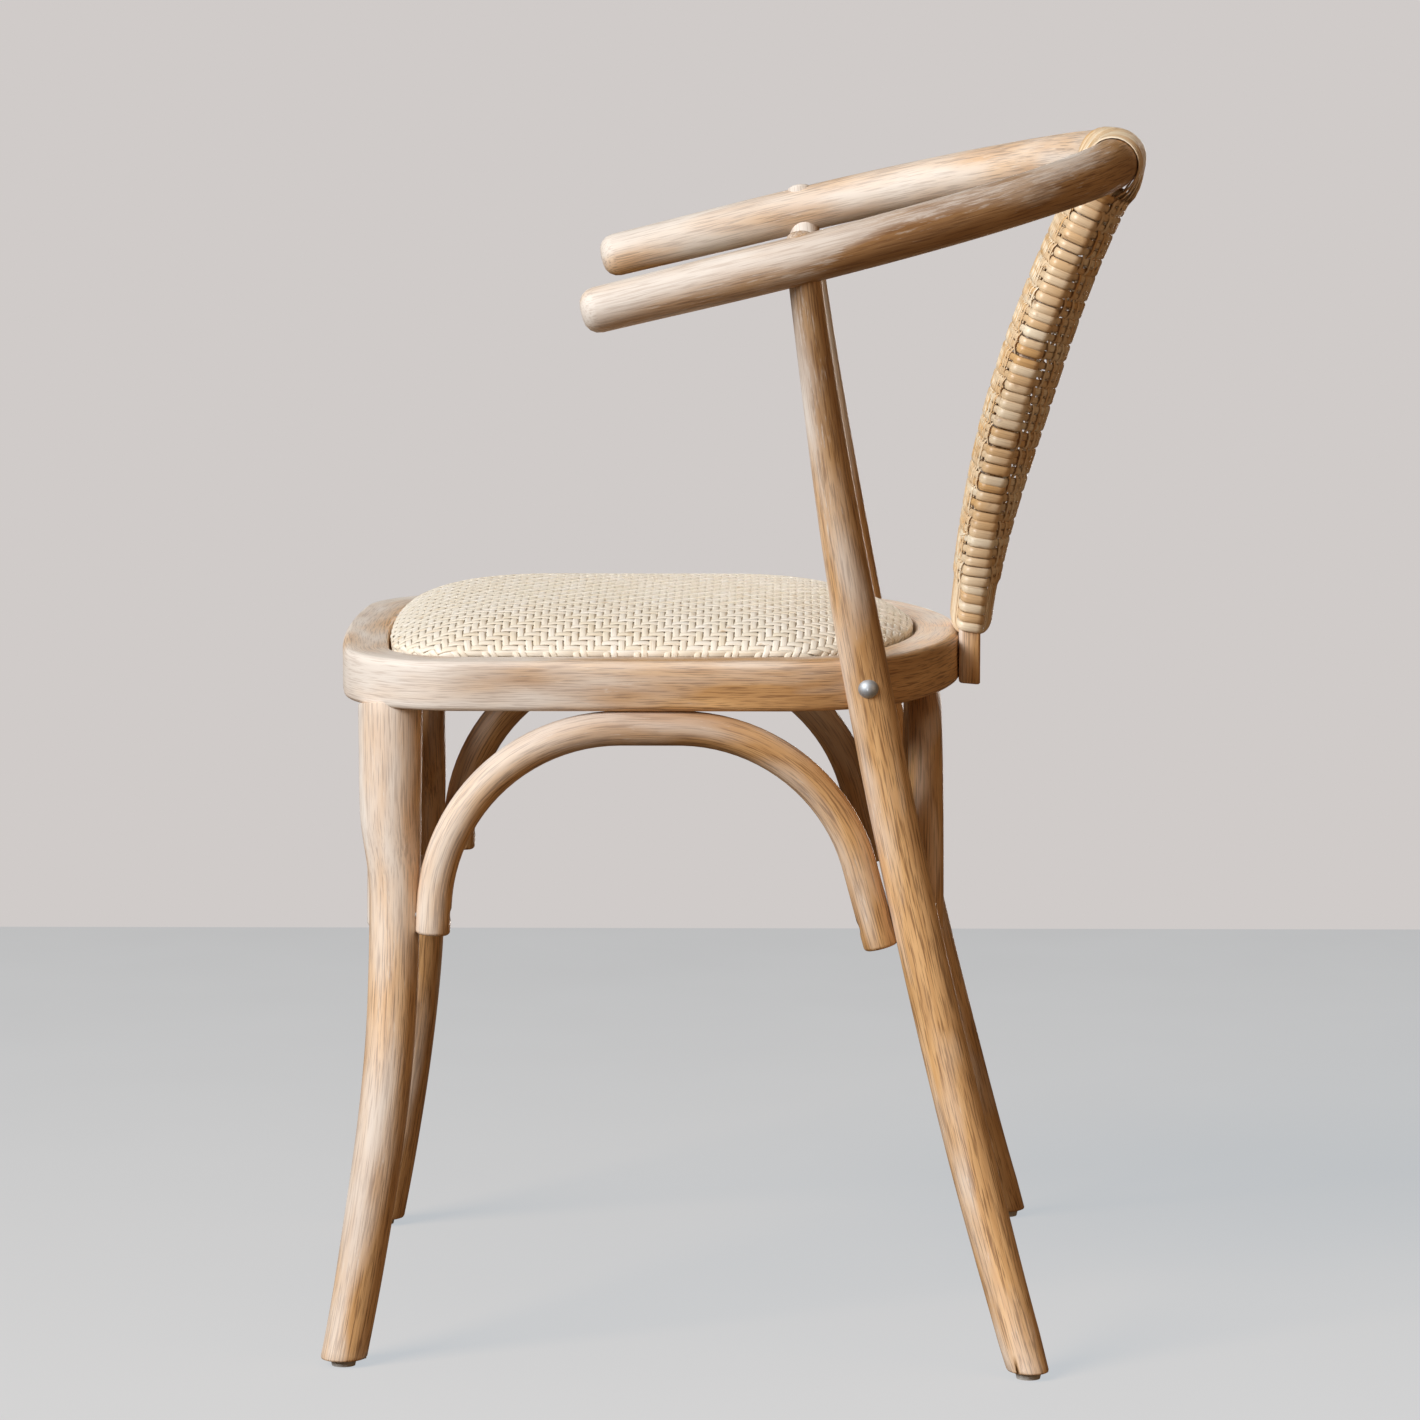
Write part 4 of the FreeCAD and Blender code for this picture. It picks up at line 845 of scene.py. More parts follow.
def bore(piece, spots):
    """Bores round holes into a piece: spots are (place on its axis, way to the drill)."""
    drill = bmesh.new()
    for place, way in spots:
        made = bmesh.ops.create_cone(
            drill,
            cap_ends=True,
            segments=24,
            radius1=bore_radius,
            radius2=bore_radius,
            depth=drill_length,
        )["verts"]
        turn = Vector((0, 0, 1)).rotation_difference(way).to_matrix()
        bmesh.ops.rotate(drill, verts=made, matrix=turn)
        bmesh.ops.translate(drill, verts=made, vec=place + way * (bore_floor + drill_length / 2))
    cutter = bpy.data.objects.new("drill", bpy.data.meshes.new("drill"))
    drill.to_mesh(cutter.data)
    drill.free()
    bpy.context.scene.collection.objects.link(cutter)
    cut = piece.modifiers.new("bore", "BOOLEAN")
    cut.object = cutter
    cut.solver = "EXACT"
    finished = piece.evaluated_get(bpy.context.evaluated_depsgraph_get())
    bored = bpy.data.meshes.new_from_object(finished)
    piece.modifiers.remove(cut)
    piece.data = bored
    piece.data.name = piece.name
    bpy.data.objects.remove(cutter)


print("screw holes", round(2000 * bore_radius, 1), "mm wide")

# %% Bored braces
for count, (name, (first, last, along, aside)) in enumerate(braces.items()):
    brace_path, brace_length = arch_path(first, last, along, aside)
    brace_rings = rod_rings(
        0.0, brace_length, lambda distance: brace_radius, step=0.008, start_round=0.0025, end_round=0.0025
    )
    brace_skin = roll_along(brace_path, brace_rings, circle_section(28), grain_start=14.0 + 1.3 * count)
    brace = keep_piece(brace_skin, "bent_" + name, limed_bentwood, "limed_wood", name)
    spots = []
    for (offset, height, lean), way in ((first, along), (last, -along)):
        lean_in = math.tan(math.radians(lean)) * screw_rise
        middle = along * offset + way * lean_in + aside
        spots.append((middle + Vector((0, 0, height + screw_rise)), way))
    bore(brace, spots)
    print(brace.name, "bored:", len(brace.data.polygons), "faces")

# %% [markdown]
# ## Splat stiles
#
# Two flat stiles stand on the back of the ring and lean back to the rail. Almost all of their length
# is wound with cane, and is planed a little slimmer there; only the screwed foot is bare.

# %% Line and section of a stile
stile_foot = 0.036


def stile_line(side):
    """A stile's path: a straight foot, then a bow back to the rail."""
    foot = Vector((side * 0.036, 0.151, 0.418))
    knee = Vector((side * 0.0382104, 0.151, 0.4539321))
    start, heading, axis, bow = arc_through(
        knee, (side * 0.047883, 0.180804, 0.611168), (side * 0.057, 0.2412996, 0.7593666)
    )
    bowed, bow_length = draw_path(start, heading, axis, [bow])

    def at(distance):
        if distance >= stile_foot:
            return bowed(distance - stile_foot)
        lower = foot + (knee - foot) * (distance / stile_foot)
        return lower, bowed(0)[1], bowed(0)[2]

    return at, stile_foot + bow_length


def box_section(half_a, half_b, corner):
    """A rectangle with rounded corners."""
    points = []
    for a, b, first in ((1, 1, 0), (-1, 1, 90), (-1, -1, 180), (1, -1, 270)):
        points += rounded((a * (half_a - corner), b * (half_b - corner)), corner, first, first + 90, 3)
    return points


stile_section = box_section(0.007, 0.009, 0.0025)
print("a stile has", len(stile_section), "points round it and is", round(stile_line(1)[1], 3), "m long")

# %% Splat stiles
planed = 0.82
stile_steps = 40
for side, hand in ((1, "left"), (-1, "right")):
    stile_path, stile_length = stile_line(side)
    stile_rings = [(0.0, 0.0), (0.0, 0.9), (0.001, 1.0), (0.012, 1.0), (0.024, 1.0)]
    stile_rings += [(stile_foot, 1.0), (stile_foot + 0.002, planed)]
    stile_rings += [(stile_length * k / stile_steps, planed) for k in range(5, stile_steps + 1)]
    stile_rings.append((stile_length, 0.0))
    stile_skin = roll_along(stile_path, stile_rings, stile_section, grain_start=20.0 + side)
    keep_piece(stile_skin, hand + "_flat_stile", limed_bentwood, "limed_wood", hand + "_splat_stile")

# %% [markdown]
# ## Peeled cane
#
# Cane is the split skin of a rattan vine: a flat or half-round strip, glossy outside, with long fine
# fibres, a tint of its own in every strip and a darker joint where a leaf once grew. A strip stores how
# far along it is, how far across, and a number of its own, and the material reads the three. The seat's
# cane is almost white; the back's is wound from warmer strips.

# %% Cane finishes
def peeled_cane(name, pale, warm, joint, gloss):
    """A cane finish from its palest strip, its warmest strip and the colour of its joints."""
    material, tree = new_material(name)
    ruler = add_node(tree, "ShaderNodeAttribute", attribute_name="strand")
    # Fibres are a tenth of a millimetre; they are drawn 0.7 mm wide and 30 mm long to show.
    thin = add_node(
        tree,
        "ShaderNodeVectorMath",
        {0: ruler.outputs["Vector"], 1: (33.0, 1400.0, 60.0)},
        operation="MULTIPLY",
    )
    fibres = add_node(tree, "ShaderNodeTexNoise", {"Vector": thin.outputs[0], "Scale": 1.0, "Detail": 2.0})
    # A strip's own tint, with a slow change along it over some 60 mm.
    slow = add_node(
        tree, "ShaderNodeVectorMath", {0: ruler.outputs["Vector"], 1: (16.0, 0.0, 37.0)}, operation="MULTIPLY"
    )
    tint = add_node(tree, "ShaderNodeTexNoise", {"Vector": slow.outputs[0], "Scale": 1.0, "Detail": 1.0})
    share = add_node(
        tree, "ShaderNodeMapRange", {"Value": tint.outputs[0], "From Min": 0.32, "From Max": 0.68}
    )
    body = add_node(
        tree, "ShaderNodeMix", {0: share.outputs[0], 6: linear(pale), 7: linear(warm)}, data_type="RGBA"
    )
    lines = add_node(
        tree,
        "ShaderNodeMapRange",
        {"Value": fibres.outputs[0], "From Min": 0.5, "From Max": 0.8, "To Max": 0.4},
    )
    fibred = add_node(
        tree, "ShaderNodeMix", {0: lines.outputs[0], 6: body.outputs[2], 7: linear(joint)}, data_type="RGBA"
    )
    # Joints: brown flecks a few millimetres across, far apart.
    fleck = add_node(
        tree,
        "ShaderNodeVectorMath",
        {0: ruler.outputs["Vector"], 1: (110.0, 160.0, 91.0)},
        operation="MULTIPLY",
    )
    flecks = add_node(tree, "ShaderNodeTexNoise", {"Vector": fleck.outputs[0], "Scale": 1.0, "Detail": 1.0})
    joints = add_node(
        tree,
        "ShaderNodeMapRange",
        {"Value": flecks.outputs[0], "From Min": 0.68, "From Max": 0.80, "To Max": 0.6},
    )
    jointed = add_node(
        tree, "ShaderNodeMix", {0: joints.outputs[0], 6: fibred.outputs[2], 7: linear(joint)}, data_type="RGBA"
    )
    rough = add_node(
        tree,
        "ShaderNodeMapRange",
        {"Value": fibres.outputs[0], "To Min": gloss - 0.08, "To Max": gloss + 0.14},
    )
    relief = add_node(
        tree, "ShaderNodeBump", {"Strength": 0.25, "Distance": 0.0003, "Height": fibres.outputs[0]}
    )
    skin = add_node(
        tree,
        "ShaderNodeBsdfPrincipled",
        {
            "Base Color": jointed.outputs[2],
            "Roughness": rough.outputs[0],
            "IOR": 1.5,
            "Normal": relief.outputs[0],
        },
    )
    add_node(tree, "ShaderNodeOutputMaterial", {"Surface": skin.outputs[0]})
    print(name, len(tree.nodes), "nodes")
    return material


# %% Two kinds of cane
seat_cane = peeled_cane("peeled_rattan_cane_bleached", "#F3ECDF", "#EADFC9", "#C3A275", 0.5)
back_cane = peeled_cane("peeled_rattan_cane_natural", "#F3E5CA", "#DAB078", "#7E4F2A", 0.32)

# %% [markdown]
# ## A strip of cane
#
# Every strip, in the seat, round the stiles and over the rail, is the same thing: a thin section drawn
# along a line. Flat cane has a lens for a section; the cane of the back is half round. A strip is a grid
# folded round that section. Its stations say where its middle is, which way is across, which way is
# out, and how wide and thick it is there.

# %% Strip helper
flat_cane = [(-0.5, 0.0), (-0.32, 0.5), (0.32, 0.5), (0.5, 0.0), (0.32, -0.5), (-0.32, -0.5)]
round_cane = [(-0.5, -0.25), (-0.43, 0.14), (-0.23, 0.43), (0.0, 0.5)]
round_cane += [(0.23, 0.43), (0.43, 0.14), (0.5, -0.25), (0.0, -0.4)]


def new_weave():
    """An empty mesh that takes strips, and the layer that measures them."""
    weave = bmesh.new()
    return weave, weave.loops.layers.float_vector.new("strand")


def lay_strip(weave, strand, section, stations, tint):
    """Folds a grid round a section along its stations, and pinches its two ends shut."""
    along, around = len(stations) - 1, len(section)
    made = bmesh.ops.create_grid(weave, x_segments=around, y_segments=along, size=0.5)["verts"]
    lengths = [0.0]
    for before, after in zip(stations, stations[1:]):
        lengths.append(lengths[-1] + (after[0] - before[0]).length)
    for vert in made:
        row = round((vert.co.y + 0.5) * along)
        spot, across, out, width, thick = stations[row]
        a, b = section[round((vert.co.x + 0.5) * around) % around]
        if row in (0, along):
            b = 0.0
        vert.co = spot + across * (a * width) + out * (b * thick)
        for loop in vert.link_loops:
            loop[strand] = (lengths[row] + 3.1 * tint, a * width, tint)
    bmesh.ops.remove_doubles(weave, verts=made, dist=2e-6)


print("a flat strip has", len(flat_cane), "faces round it, a half-round one", len(round_cane))

# %% [markdown]
# ## Seat pad
#
# Under the cane lies a thin stuffed pad in lining cloth, coloured dark brown as painted shade, so that the
# small holes of the weave, the only places where it is seen, read dark. It gives the seat its crown: nearly
# flat in the middle, and rolling down to the slit beside the ring. It is a grid rolled round the seat's middle,
# so it has the same crown as the cane; a simulation would only move it away from the cane that is pulled tight
# over it.

# %% Crown of the seat
pad_middle = Vector((0.0, -0.05775, 0.0))
pad_points = 720
pad_path, pad_length = seat_outline(0.0315)
pad_edge = [pad_path(pad_length * k / pad_points)[0] - pad_middle for k in range(pad_points)]
pad_reach = sorted((math.atan2(p.y, p.x), p.length) for p in pad_edge)
crown_edge, crown_rise = 0.4523, 0.0245


def reach_at(angle):
    """How far the pad's edge is from its middle, in one direction."""
    after = bisect.bisect_left(pad_reach, (angle,))
    (a0, r0), (a1, r1) = pad_reach[after - 1], pad_reach[after % len(pad_reach)]
    gap = (a1 - a0) % (2 * math.pi)
    return r0 + (r1 - r0) * (((angle - a0) % (2 * math.pi)) / gap)


def crown(share):
    """Height of the cane's outside over the pad: share is 0 at the middle and 1 at the edge."""
    return crown_edge + crown_rise * max(0.0, 1 - min(share, 1.0) ** 4) ** 0.8


print("crown", round((crown(0) - crown(1)) * 1000, 1), "mm")

# %% Lining cloth
lining_cloth, tree = new_material("woven_cotton_lining")
# A matt cotton cloth with threads 0.8 mm apart that only show close to; its dark brown is painted shade for the
# holes of the weave.
place = add_node(tree, "ShaderNodeTexCoord")
threads = add_node(
    tree, "ShaderNodeTexChecker", {"Vector": place.outputs["Object"], "Scale": 1 / 0.0008}
)
slubs = add_node(tree, "ShaderNodeTexNoise", {"Vector": place.outputs["Object"], "Scale": 90.0, "Detail": 2.0})
cloth_with_painted_shade = add_node(
    tree, "ShaderNodeMix", {0: slubs.outputs[0], 6: linear("#5A432C"), 7: linear("#7D6244")}, data_type="RGBA"
)
cloth_rough = add_node(tree, "ShaderNodeMapRange", {"Value": slubs.outputs[0], "To Min": 0.85, "To Max": 0.98})
cloth_relief = add_node(
    tree, "ShaderNodeBump", {"Strength": 0.4, "Distance": 0.0003, "Height": threads.outputs["Fac"]}
)
cloth_skin = add_node(
    tree,
    "ShaderNodeBsdfPrincipled",
    {"Base Color": cloth_with_painted_shade.outputs[2], "Roughness": cloth_rough.outputs[0], "Normal": cloth_relief.outputs[0]},
)
add_node(tree, "ShaderNodeOutputMaterial", {"Surface": cloth_skin.outputs[0]})
print("lining nodes:", len(tree.nodes))

# %% Seat pad
pad_under = 0.4433
pad_sides = 144
crown_rows = 22
cane_depth = 0.0024
pad_rows = [(0.0, pad_under), (0.5, pad_under), (0.96, pad_under), (0.975, 0.4465)]
pad_rows += [(0.985 * math.sin(math.pi / 2 * (1 - k / crown_rows)), None) for k in range(crown_rows + 1)]
pad_skin = bmesh.new()
bmesh.ops.create_grid(pad_skin, x_segments=pad_sides, y_segments=len(pad_rows) - 1, size=0.5)
for vert in pad_skin.verts:
    share, height = pad_rows[round((vert.co.y + 0.5) * (len(pad_rows) - 1))]
    side = round((vert.co.x + 0.5) * pad_sides)
    vert.co = pad_middle + pad_edge[side * pad_points // pad_sides % pad_points] * share
    vert.co.z = crown(share) - cane_depth if height is None else height
bmesh.ops.remove_doubles(pad_skin, verts=pad_skin.verts, dist=2e-6)
bmesh.ops.recalc_face_normals(pad_skin, faces=pad_skin.faces)
seat_pad = keep_piece(pad_skin, "stuffed_seat_pad", lining_cloth, "lining", "seat_padding")

# %% [markdown]
# ## Woven seat
#
# Two sets of strips cross at right angles, each over two and under two, one step further in each row.
# That makes the slanting stairs seen on the seat. The woven sheet is flat when it is bought. It is pulled
# over the pad and its edge is turned down into the slit, so each strip is first placed on the flat sheet
# and then carried to the crown: straight down to it in the middle, and by its length over the rolled edge.

# %% From flat sheet to crown
roll_start = 0.90
roll_steps = 40
edge_reach = 0.165
slit_floor = 0.4437
roll = [(0.0, roll_start, crown(roll_start))]
for k in range(1, roll_steps + 1):
    share = roll_start + (1 - roll_start) * math.sin(math.pi / 2 * k / roll_steps)
    step = math.hypot((share - roll[-1][1]) * edge_reach, crown(share) - roll[-1][2])
    roll.append((roll[-1][0] + step, share, crown(share)))
roll.append((roll[-1][0] + crown(1.0) - slit_floor, 1.0, slit_floor))
sheet_limit = roll_start + roll[-1][0] / edge_reach


def on_crown(x, y):
    """Where a point of the flat sheet comes to lie."""
    out = Vector((x, y, 0)) - pad_middle
    share = out.length / reach_at(math.atan2(out.y, out.x))
    height, folded = crown(share), share
    if share > roll_start:
        length = min((share - roll_start) * edge_reach, roll[-1][0])
        for (l0, s0, z0), (l1, s1, z1) in zip(roll, roll[1:]):
            if length <= l1:
                part = (length - l0) / (l1 - l0)
                folded, height = s0 + (s1 - s0) * part, z0 + (z1 - z0) * part
                break
    place = pad_middle + out * (folded / share if share else 1.0)
    place.z = height
    return place, share


print("flat sheet reaches", round(sheet_limit, 3), "of the way to the edge")

# %% One strip of the seat
seat_pitch = 0.0050
seat_rows = 42
strip_width, strip_thick = 0.0045, 0.0009
strip_depth, strip_lift = 0.00105, 0.00048
steepness = 1.7
probe = 0.0006


def seat_strip(row, lengthwise, chance):
    """Stations of one strip of the seat, or nothing where the row misses the pad."""
    fixed = (row + 0.5) * seat_pitch + (0.0 if lengthwise else pad_middle.y)
    start = pad_middle.y if lengthwise else 0.0
    shift = chance.uniform(-0.00012, 0.00012)
    stations = []
    for k in range(-2 * seat_rows, 2 * seat_rows + 1):
        moving = start + k * seat_pitch / 2
        x, y = (fixed + shift, moving) if lengthwise else (moving, fixed + shift)
        place, share = on_crown(x, y)
        if share > sheet_limit:
            continue
        step_x = on_crown(x + probe, y)[0] - on_crown(x - probe, y)[0]
        step_y = on_crown(x, y + probe)[0] - on_crown(x, y - probe)[0]
        out = step_x.cross(step_y).normalized()
        across = (step_x if lengthwise else step_y).normalized()
        wave = math.sin(2 * math.pi * (k / 2 + row) / 4)
        lift = max(-1.0, min(1.0, steepness * wave)) * (1 if lengthwise else -1)
        middle = place - out * (strip_depth - strip_lift * lift)
        stations.append((middle, across, out, strip_width, strip_thick))
    return stations if len(stations) > 5 else None


print("seat strips", strip_width * 1000, "mm wide,", seat_pitch * 1000, "mm apart")

# %% Woven seat
chance = random.Random(5)
for lengthwise, name in ((True, "seat_cane_front_to_back"), (False, "seat_cane_side_to_side")):
    weave, strand = new_weave()
    laid = 0
    for row in range(-seat_rows, seat_rows):
        stations = seat_strip(row, lengthwise, chance)
        if stations:
            lay_strip(weave, strand, flat_cane, stations, chance.random())
            laid += 1
    bmesh.ops.recalc_face_normals(weave, faces=weave.faces)
    print(laid, "strips")
    keep_piece(weave, name, seat_cane, "rattan", "seat_weave")

# %% [markdown]
# ## Woven splat
#
# Two sets of strips make the back. The uprights run up the front face, over the rail and down the back
# face in one length. The others go round and round: across the front, round one stile, across the back
# and round the other stile. On the stiles they lie turn on turn and hide the wood. On the faces they
# cross the uprights two rows over and three rows under, which makes the ragged border that the splat
# shows from the side. The lowest turns go round one stile only, and the uprights curl in under them.
# Both faces belly out, the back one more, because it follows the bend of the rail.

# %% Rows and faces of the splat
stile_paths = {1: stile_line(1)[0], -1: stile_line(-1)[0]}
stile_length = stile_line(1)[1]
row_pitch = 0.0062
first_row = 0.0382
rail_room = 0.0195
row_count = int((stile_length - rail_room - first_row) / row_pitch) + 1
turn_deep = 0.0084
turn_wide = 0.0102
face_belly = {1: (0.0025, 0.0065, 0.00635), -1: (0.0025, 0.0105, 0.00635)}
set_back, set_back_more = 0.0015, 0.0052
edge_full = 0.0024


def up_the_face(distance):
    """The way up a woven face."""
    ahead = stile_paths[1](distance + 0.001)[0] - stile_paths[1](distance - 0.001)[0]
    return Vector((0, ahead.y, ahead.z)).normalized()


def face_point(share, distance, facing):
    """A point of a face and its way out: share runs from -1 to 1 across, facing is 1 in front, -1 behind."""
    spot, up = stile_paths[1](distance)[0], up_the_face(distance)
    out = Vector((0, -up.z, up.y)) * facing
    rise = (distance - stile_foot) / (stile_length - stile_foot)
    low, middle, high = face_belly[facing]
    belly = blend_between([(0, low), (0.5, middle), (1, high)], rise)
    belly -= facing * (set_back + set_back_more * rise)
    fullness = turn_deep + edge_full * (1 - share**6) + belly * (1 - share * share)
    place = Vector((share * spot.x, spot.y, spot.z)) + out * fullness
    return place, (out + Vector((2 * share * belly / spot.x, 0, 0))).normalized()


print("splat:", row_count, "rows", round(row_pitch * 1000, 1), "mm apart")

# %% Turns round a stile
squareness = 0.55


def signed_power(value, power):
    """A power of a value that keeps its sign."""
    return math.copysign(abs(value) ** power, value)


def stile_turn(side, distance, angle, deep, wide):
    """A point round a stile and its way out: at -90 degrees the back, at 0 the outside, at 90 the front."""
    spot, front, outside = stile_paths[side](distance)
    front = front if front.y < 0 else -front
    outside = outside if outside.x * side > 0 else -outside
    a, b = math.sin(math.radians(angle)), math.cos(math.radians(angle))
    place = front * (deep * signed_power(a, squareness)) + outside * (wide * signed_power(b, squareness))
    slope = 2 - squareness
    out = front * (signed_power(a, slope) / deep) + outside * (signed_power(b, slope) / wide)
    return spot + place, out.normalized()


print("a turn is", round(2000 * turn_wide, 1), "mm wide and", round(2000 * turn_deep, 1), "mm deep")

# %% Rows of the splat
free_rows = 5
upright_count = 21
weave_lift = 0.0013
turn_width, turn_thick = 0.0064, 0.0020
free_deep, free_thick = 0.0080, 0.0021
row_size = (0.0048, 0.0013)


def over(row, column):
    """1 where a row lies over an upright, -1 where it lies under it, 0 in the lowest rows."""
    if row < free_rows:
        return 0
    return (1 if row % 5 < 2 else -1) * (1 if column % 2 else -1)


def free_turn(side, row, chance):
    """Stations of one turn round one stile only, from inside the splat round to the inside again."""
    slip = chance.uniform(-0.0003, 0.0003)
    stations = []
    for k in range(26):
        distance = first_row + (row + k / 24 - 0.5) * row_pitch + slip
        place, out = stile_turn(side, distance, 180 + 15 * k, free_deep, turn_wide)
        stations.append((place, up_the_face(distance), out, turn_width, free_thick))
    return stations


def face_run(row, facing, halves, distance, slant, inset):
    """Stations of one row across a face; halves counts half uprights from the right stile to the left."""
    run = []
    for k in halves:
        share = -1 + k / upright_count
        place, out = face_point(share, distance + slant * share, facing)
        lift = weave_lift * over(row, k // 2) if k % 2 else 0.0
        run.append((place + out * (lift - inset), up_the_face(distance), out, *row_size))
    return run


print("uprights:", upright_count, "and free turns:", free_rows)

# %% A full row and a loose end
top_tuck = 0.0045
loose_width, loose_thick = 0.0010, 0.0005


def round_the_splat(row, chance):
    """Stations of one row: half the back, one stile, the front, the other stile, the rest of the back."""
    distance = first_row + row * row_pitch + chance.uniform(-0.0005, 0.0005)
    slant, puff = chance.uniform(-0.0008, 0.0008), chance.uniform(-0.0003, 0.0005)
    width = turn_width + chance.uniform(-0.0005, 0.0004)
    turns = {}
    for side in (1, -1):
        turns[side] = []
        for angle in range(-75, 76, 15):
            place, out = stile_turn(side, distance + slant * side, angle, turn_deep + puff, turn_wide + puff)
            turns[side].append((place, up_the_face(distance), out, width, turn_thick))
    last = 2 * upright_count
    inset = top_tuck if row == row_count else 0.0
    stations = face_run(row, -1, range(upright_count, last + 1), distance, slant, inset) + turns[1]
    stations += face_run(row, 1, range(last, -1, -1), distance, slant, inset / 3) + turns[-1][::-1]
    return stations + face_run(row, -1, range(0, upright_count + 3), distance, slant, inset)


def loose_end(facing, side, chance):
    """Stations of one thin cane end that has come loose at the edge of a face."""
    distance = chance.uniform(first_row + 0.04, stile_length - 0.04)
    place, out = face_point(side * 0.98, distance, facing)
    way = (out + Vector((side * 0.3, 0, chance.uniform(-0.7, 0.7)))).normalized()
    length, across = chance.uniform(0.003, 0.006), up_the_face(distance)
    return [
        (place + way * (length * k / 3), across, out, loose_width * (1 - k / 5), loose_thick)
        for k in range(4)
    ]


print("a full row has", len(round_the_splat(free_rows, random.Random(0))), "stations")

# %% Wound splat
loose_ends = 12
chance = random.Random(21)
weave, strand = new_weave()
for row in list(range(free_rows)) + [row_count + 1]:
    for side in (1, -1):
        lay_strip(weave, strand, round_cane, free_turn(side, row, chance), chance.random())
for row in range(free_rows, row_count + 1):
    lay_strip(weave, strand, round_cane, round_the_splat(row, chance), chance.random())
for k in range(loose_ends):
    facing, side = 1 - 2 * (k % 2), 1 - 2 * (k // 2 % 2)
    lay_strip(weave, strand, flat_cane, loose_end(facing, side, chance), chance.random())
bmesh.ops.recalc_face_normals(weave, faces=weave.faces)
woven_nodes = ("left_stile_wrap", "right_stile_wrap", "splat_front_weave", "splat_back_weave")
keep_piece(weave, "splat_wound_strips", back_cane, "rattan", *woven_nodes)

# %% Uprights on the faces
upright_width, upright_thick = 0.0030, 0.0012
curl_height, curl_in, curl_drop = 0.0035, 0.0050, 0.0100


def upright_run(column, facing):
    """Stations of one upright on one face, from the curl at its foot to the rail."""
    share = -1 + 2 * (column + 0.5) / upright_count
    foot = first_row + curl_height
    run = []
    for turn in (1.4, 1.15, 0.9, 0.65, 0.4, 0.2):
        place, out = face_point(share, foot, facing)
        up = up_the_face(foot)
        place = place - out * (curl_in * (1 - math.cos(turn))) - up * (curl_drop * math.sin(turn))
        curled = out * math.cos(turn) - up * math.sin(turn)
        run.append((place, up.cross(out), curled, upright_width, upright_thick))
    for k in range(2, 2 * row_count - 1):
        distance = first_row + row_pitch * k / 2
        place, out = face_point(share, distance, facing)
        lift = weave_lift * (over(k // 2, column) + over((k + 1) // 2, column)) / 2
        width = blend_between([(0, 0.0026), (0.8, upright_width), (1, 0.0056)], k / (2 * row_count))
        run.append((place - out * lift, up_the_face(distance).cross(out), out, width, upright_thick))
    return run


print("an upright has", len(upright_run(0, 1)), "stations on a face")

# %% Uprights over the rail
rail_grip = 0.0176
rail_steps = 22
rail_size = (0.0062, 0.0016)


def rail_line(x):
    """The rail's axis and its way outwards, at a place across the chair."""
    swing = math.asin(x / rail_bend)
    spot = rail_centre + rail_slope * (rail_bend * math.cos(swing)) + Vector((x, 0, 0))
    return spot, (rail_slope * math.cos(swing) + Vector((math.sin(swing), 0, 0))).normalized()


def over_the_rail(before, after):
    """Stations that take an upright round the rail, from the front face to the back face."""
    axis_spot, outward = rail_line(before[0].x)
    lift = sideways.cross(outward).normalized()
    lift = lift if lift.z > 0 else -lift
    to_front, to_back = before[0] - axis_spot, after[0] - axis_spot
    first, last = (math.atan2(away.dot(lift), -away.dot(outward)) for away in (to_front, to_back))
    last = last if last > first else last + 2 * math.pi
    run = []
    for k in range(1, rail_steps):
        angle = first + (last - first) * k / rail_steps
        out = -outward * math.cos(angle) + lift * math.sin(angle)
        ease = min(1.0, k / 5.0, (rail_steps - k) / 5.0)
        near = (to_front if k < rail_steps / 2 else to_back).length
        radius = near + (rail_grip - near) * math.sin(math.pi / 2 * ease)
        run.append((axis_spot + out * radius, sideways, out, *rail_size))
    return run


chance = random.Random(8)
weave, strand = new_weave()
for column in range(upright_count):
    front, back = upright_run(column, 1), upright_run(column, -1)[::-1]
    stations = front + over_the_rail(front[-1], back[0]) + back
    lay_strip(weave, strand, round_cane, stations, chance.random())
bmesh.ops.recalc_face_normals(weave, faces=weave.faces)
keep_piece(weave, "splat_uprights", back_cane, "rattan", "rail_wrap")

# %% [markdown]
# ## Fittings, glides and the seat board
#
# The domed bolt heads, the screws, the foot glides and the plywood under the seat already have their
# true shapes in CAD. They only need surfaces: zinc plating with its faint cloudy spangle, moulded
# polythene, and rotary-cut birch veneer.

# %% Zinc plating
zinc_plate, tree = new_material("zinc_plated_steel")
# Zinc plating is a dull blue-grey mirror, clouded by crystals about 1.4 mm across.
place = add_node(tree, "ShaderNodeTexCoord")
spangle = add_node(
    tree, "ShaderNodeTexNoise", {"Vector": place.outputs["Object"], "Scale": 700.0, "Detail": 2.0}
)
zinc_colour = add_node(
    tree, "ShaderNodeMix", {0: spangle.outputs[0], 6: linear("#B4BBC1"), 7: linear("#D6DBDE")}, data_type="RGBA"
)
zinc_rough = add_node(tree, "ShaderNodeMapRange", {"Value": spangle.outputs[0], "To Min": 0.55, "To Max": 0.75})
zinc_skin = add_node(
    tree,
    "ShaderNodeBsdfPrincipled",
    {"Base Color": zinc_colour.outputs[2], "Roughness": zinc_rough.outputs[0], "Metallic": 1.0},
)
add_node(tree, "ShaderNodeOutputMaterial", {"Surface": zinc_skin.outputs[0]})
print(zinc_plate.name, len(tree.nodes), "nodes")

# %% Moulded polythene
moulded_glide, tree = new_material("moulded_polythene")
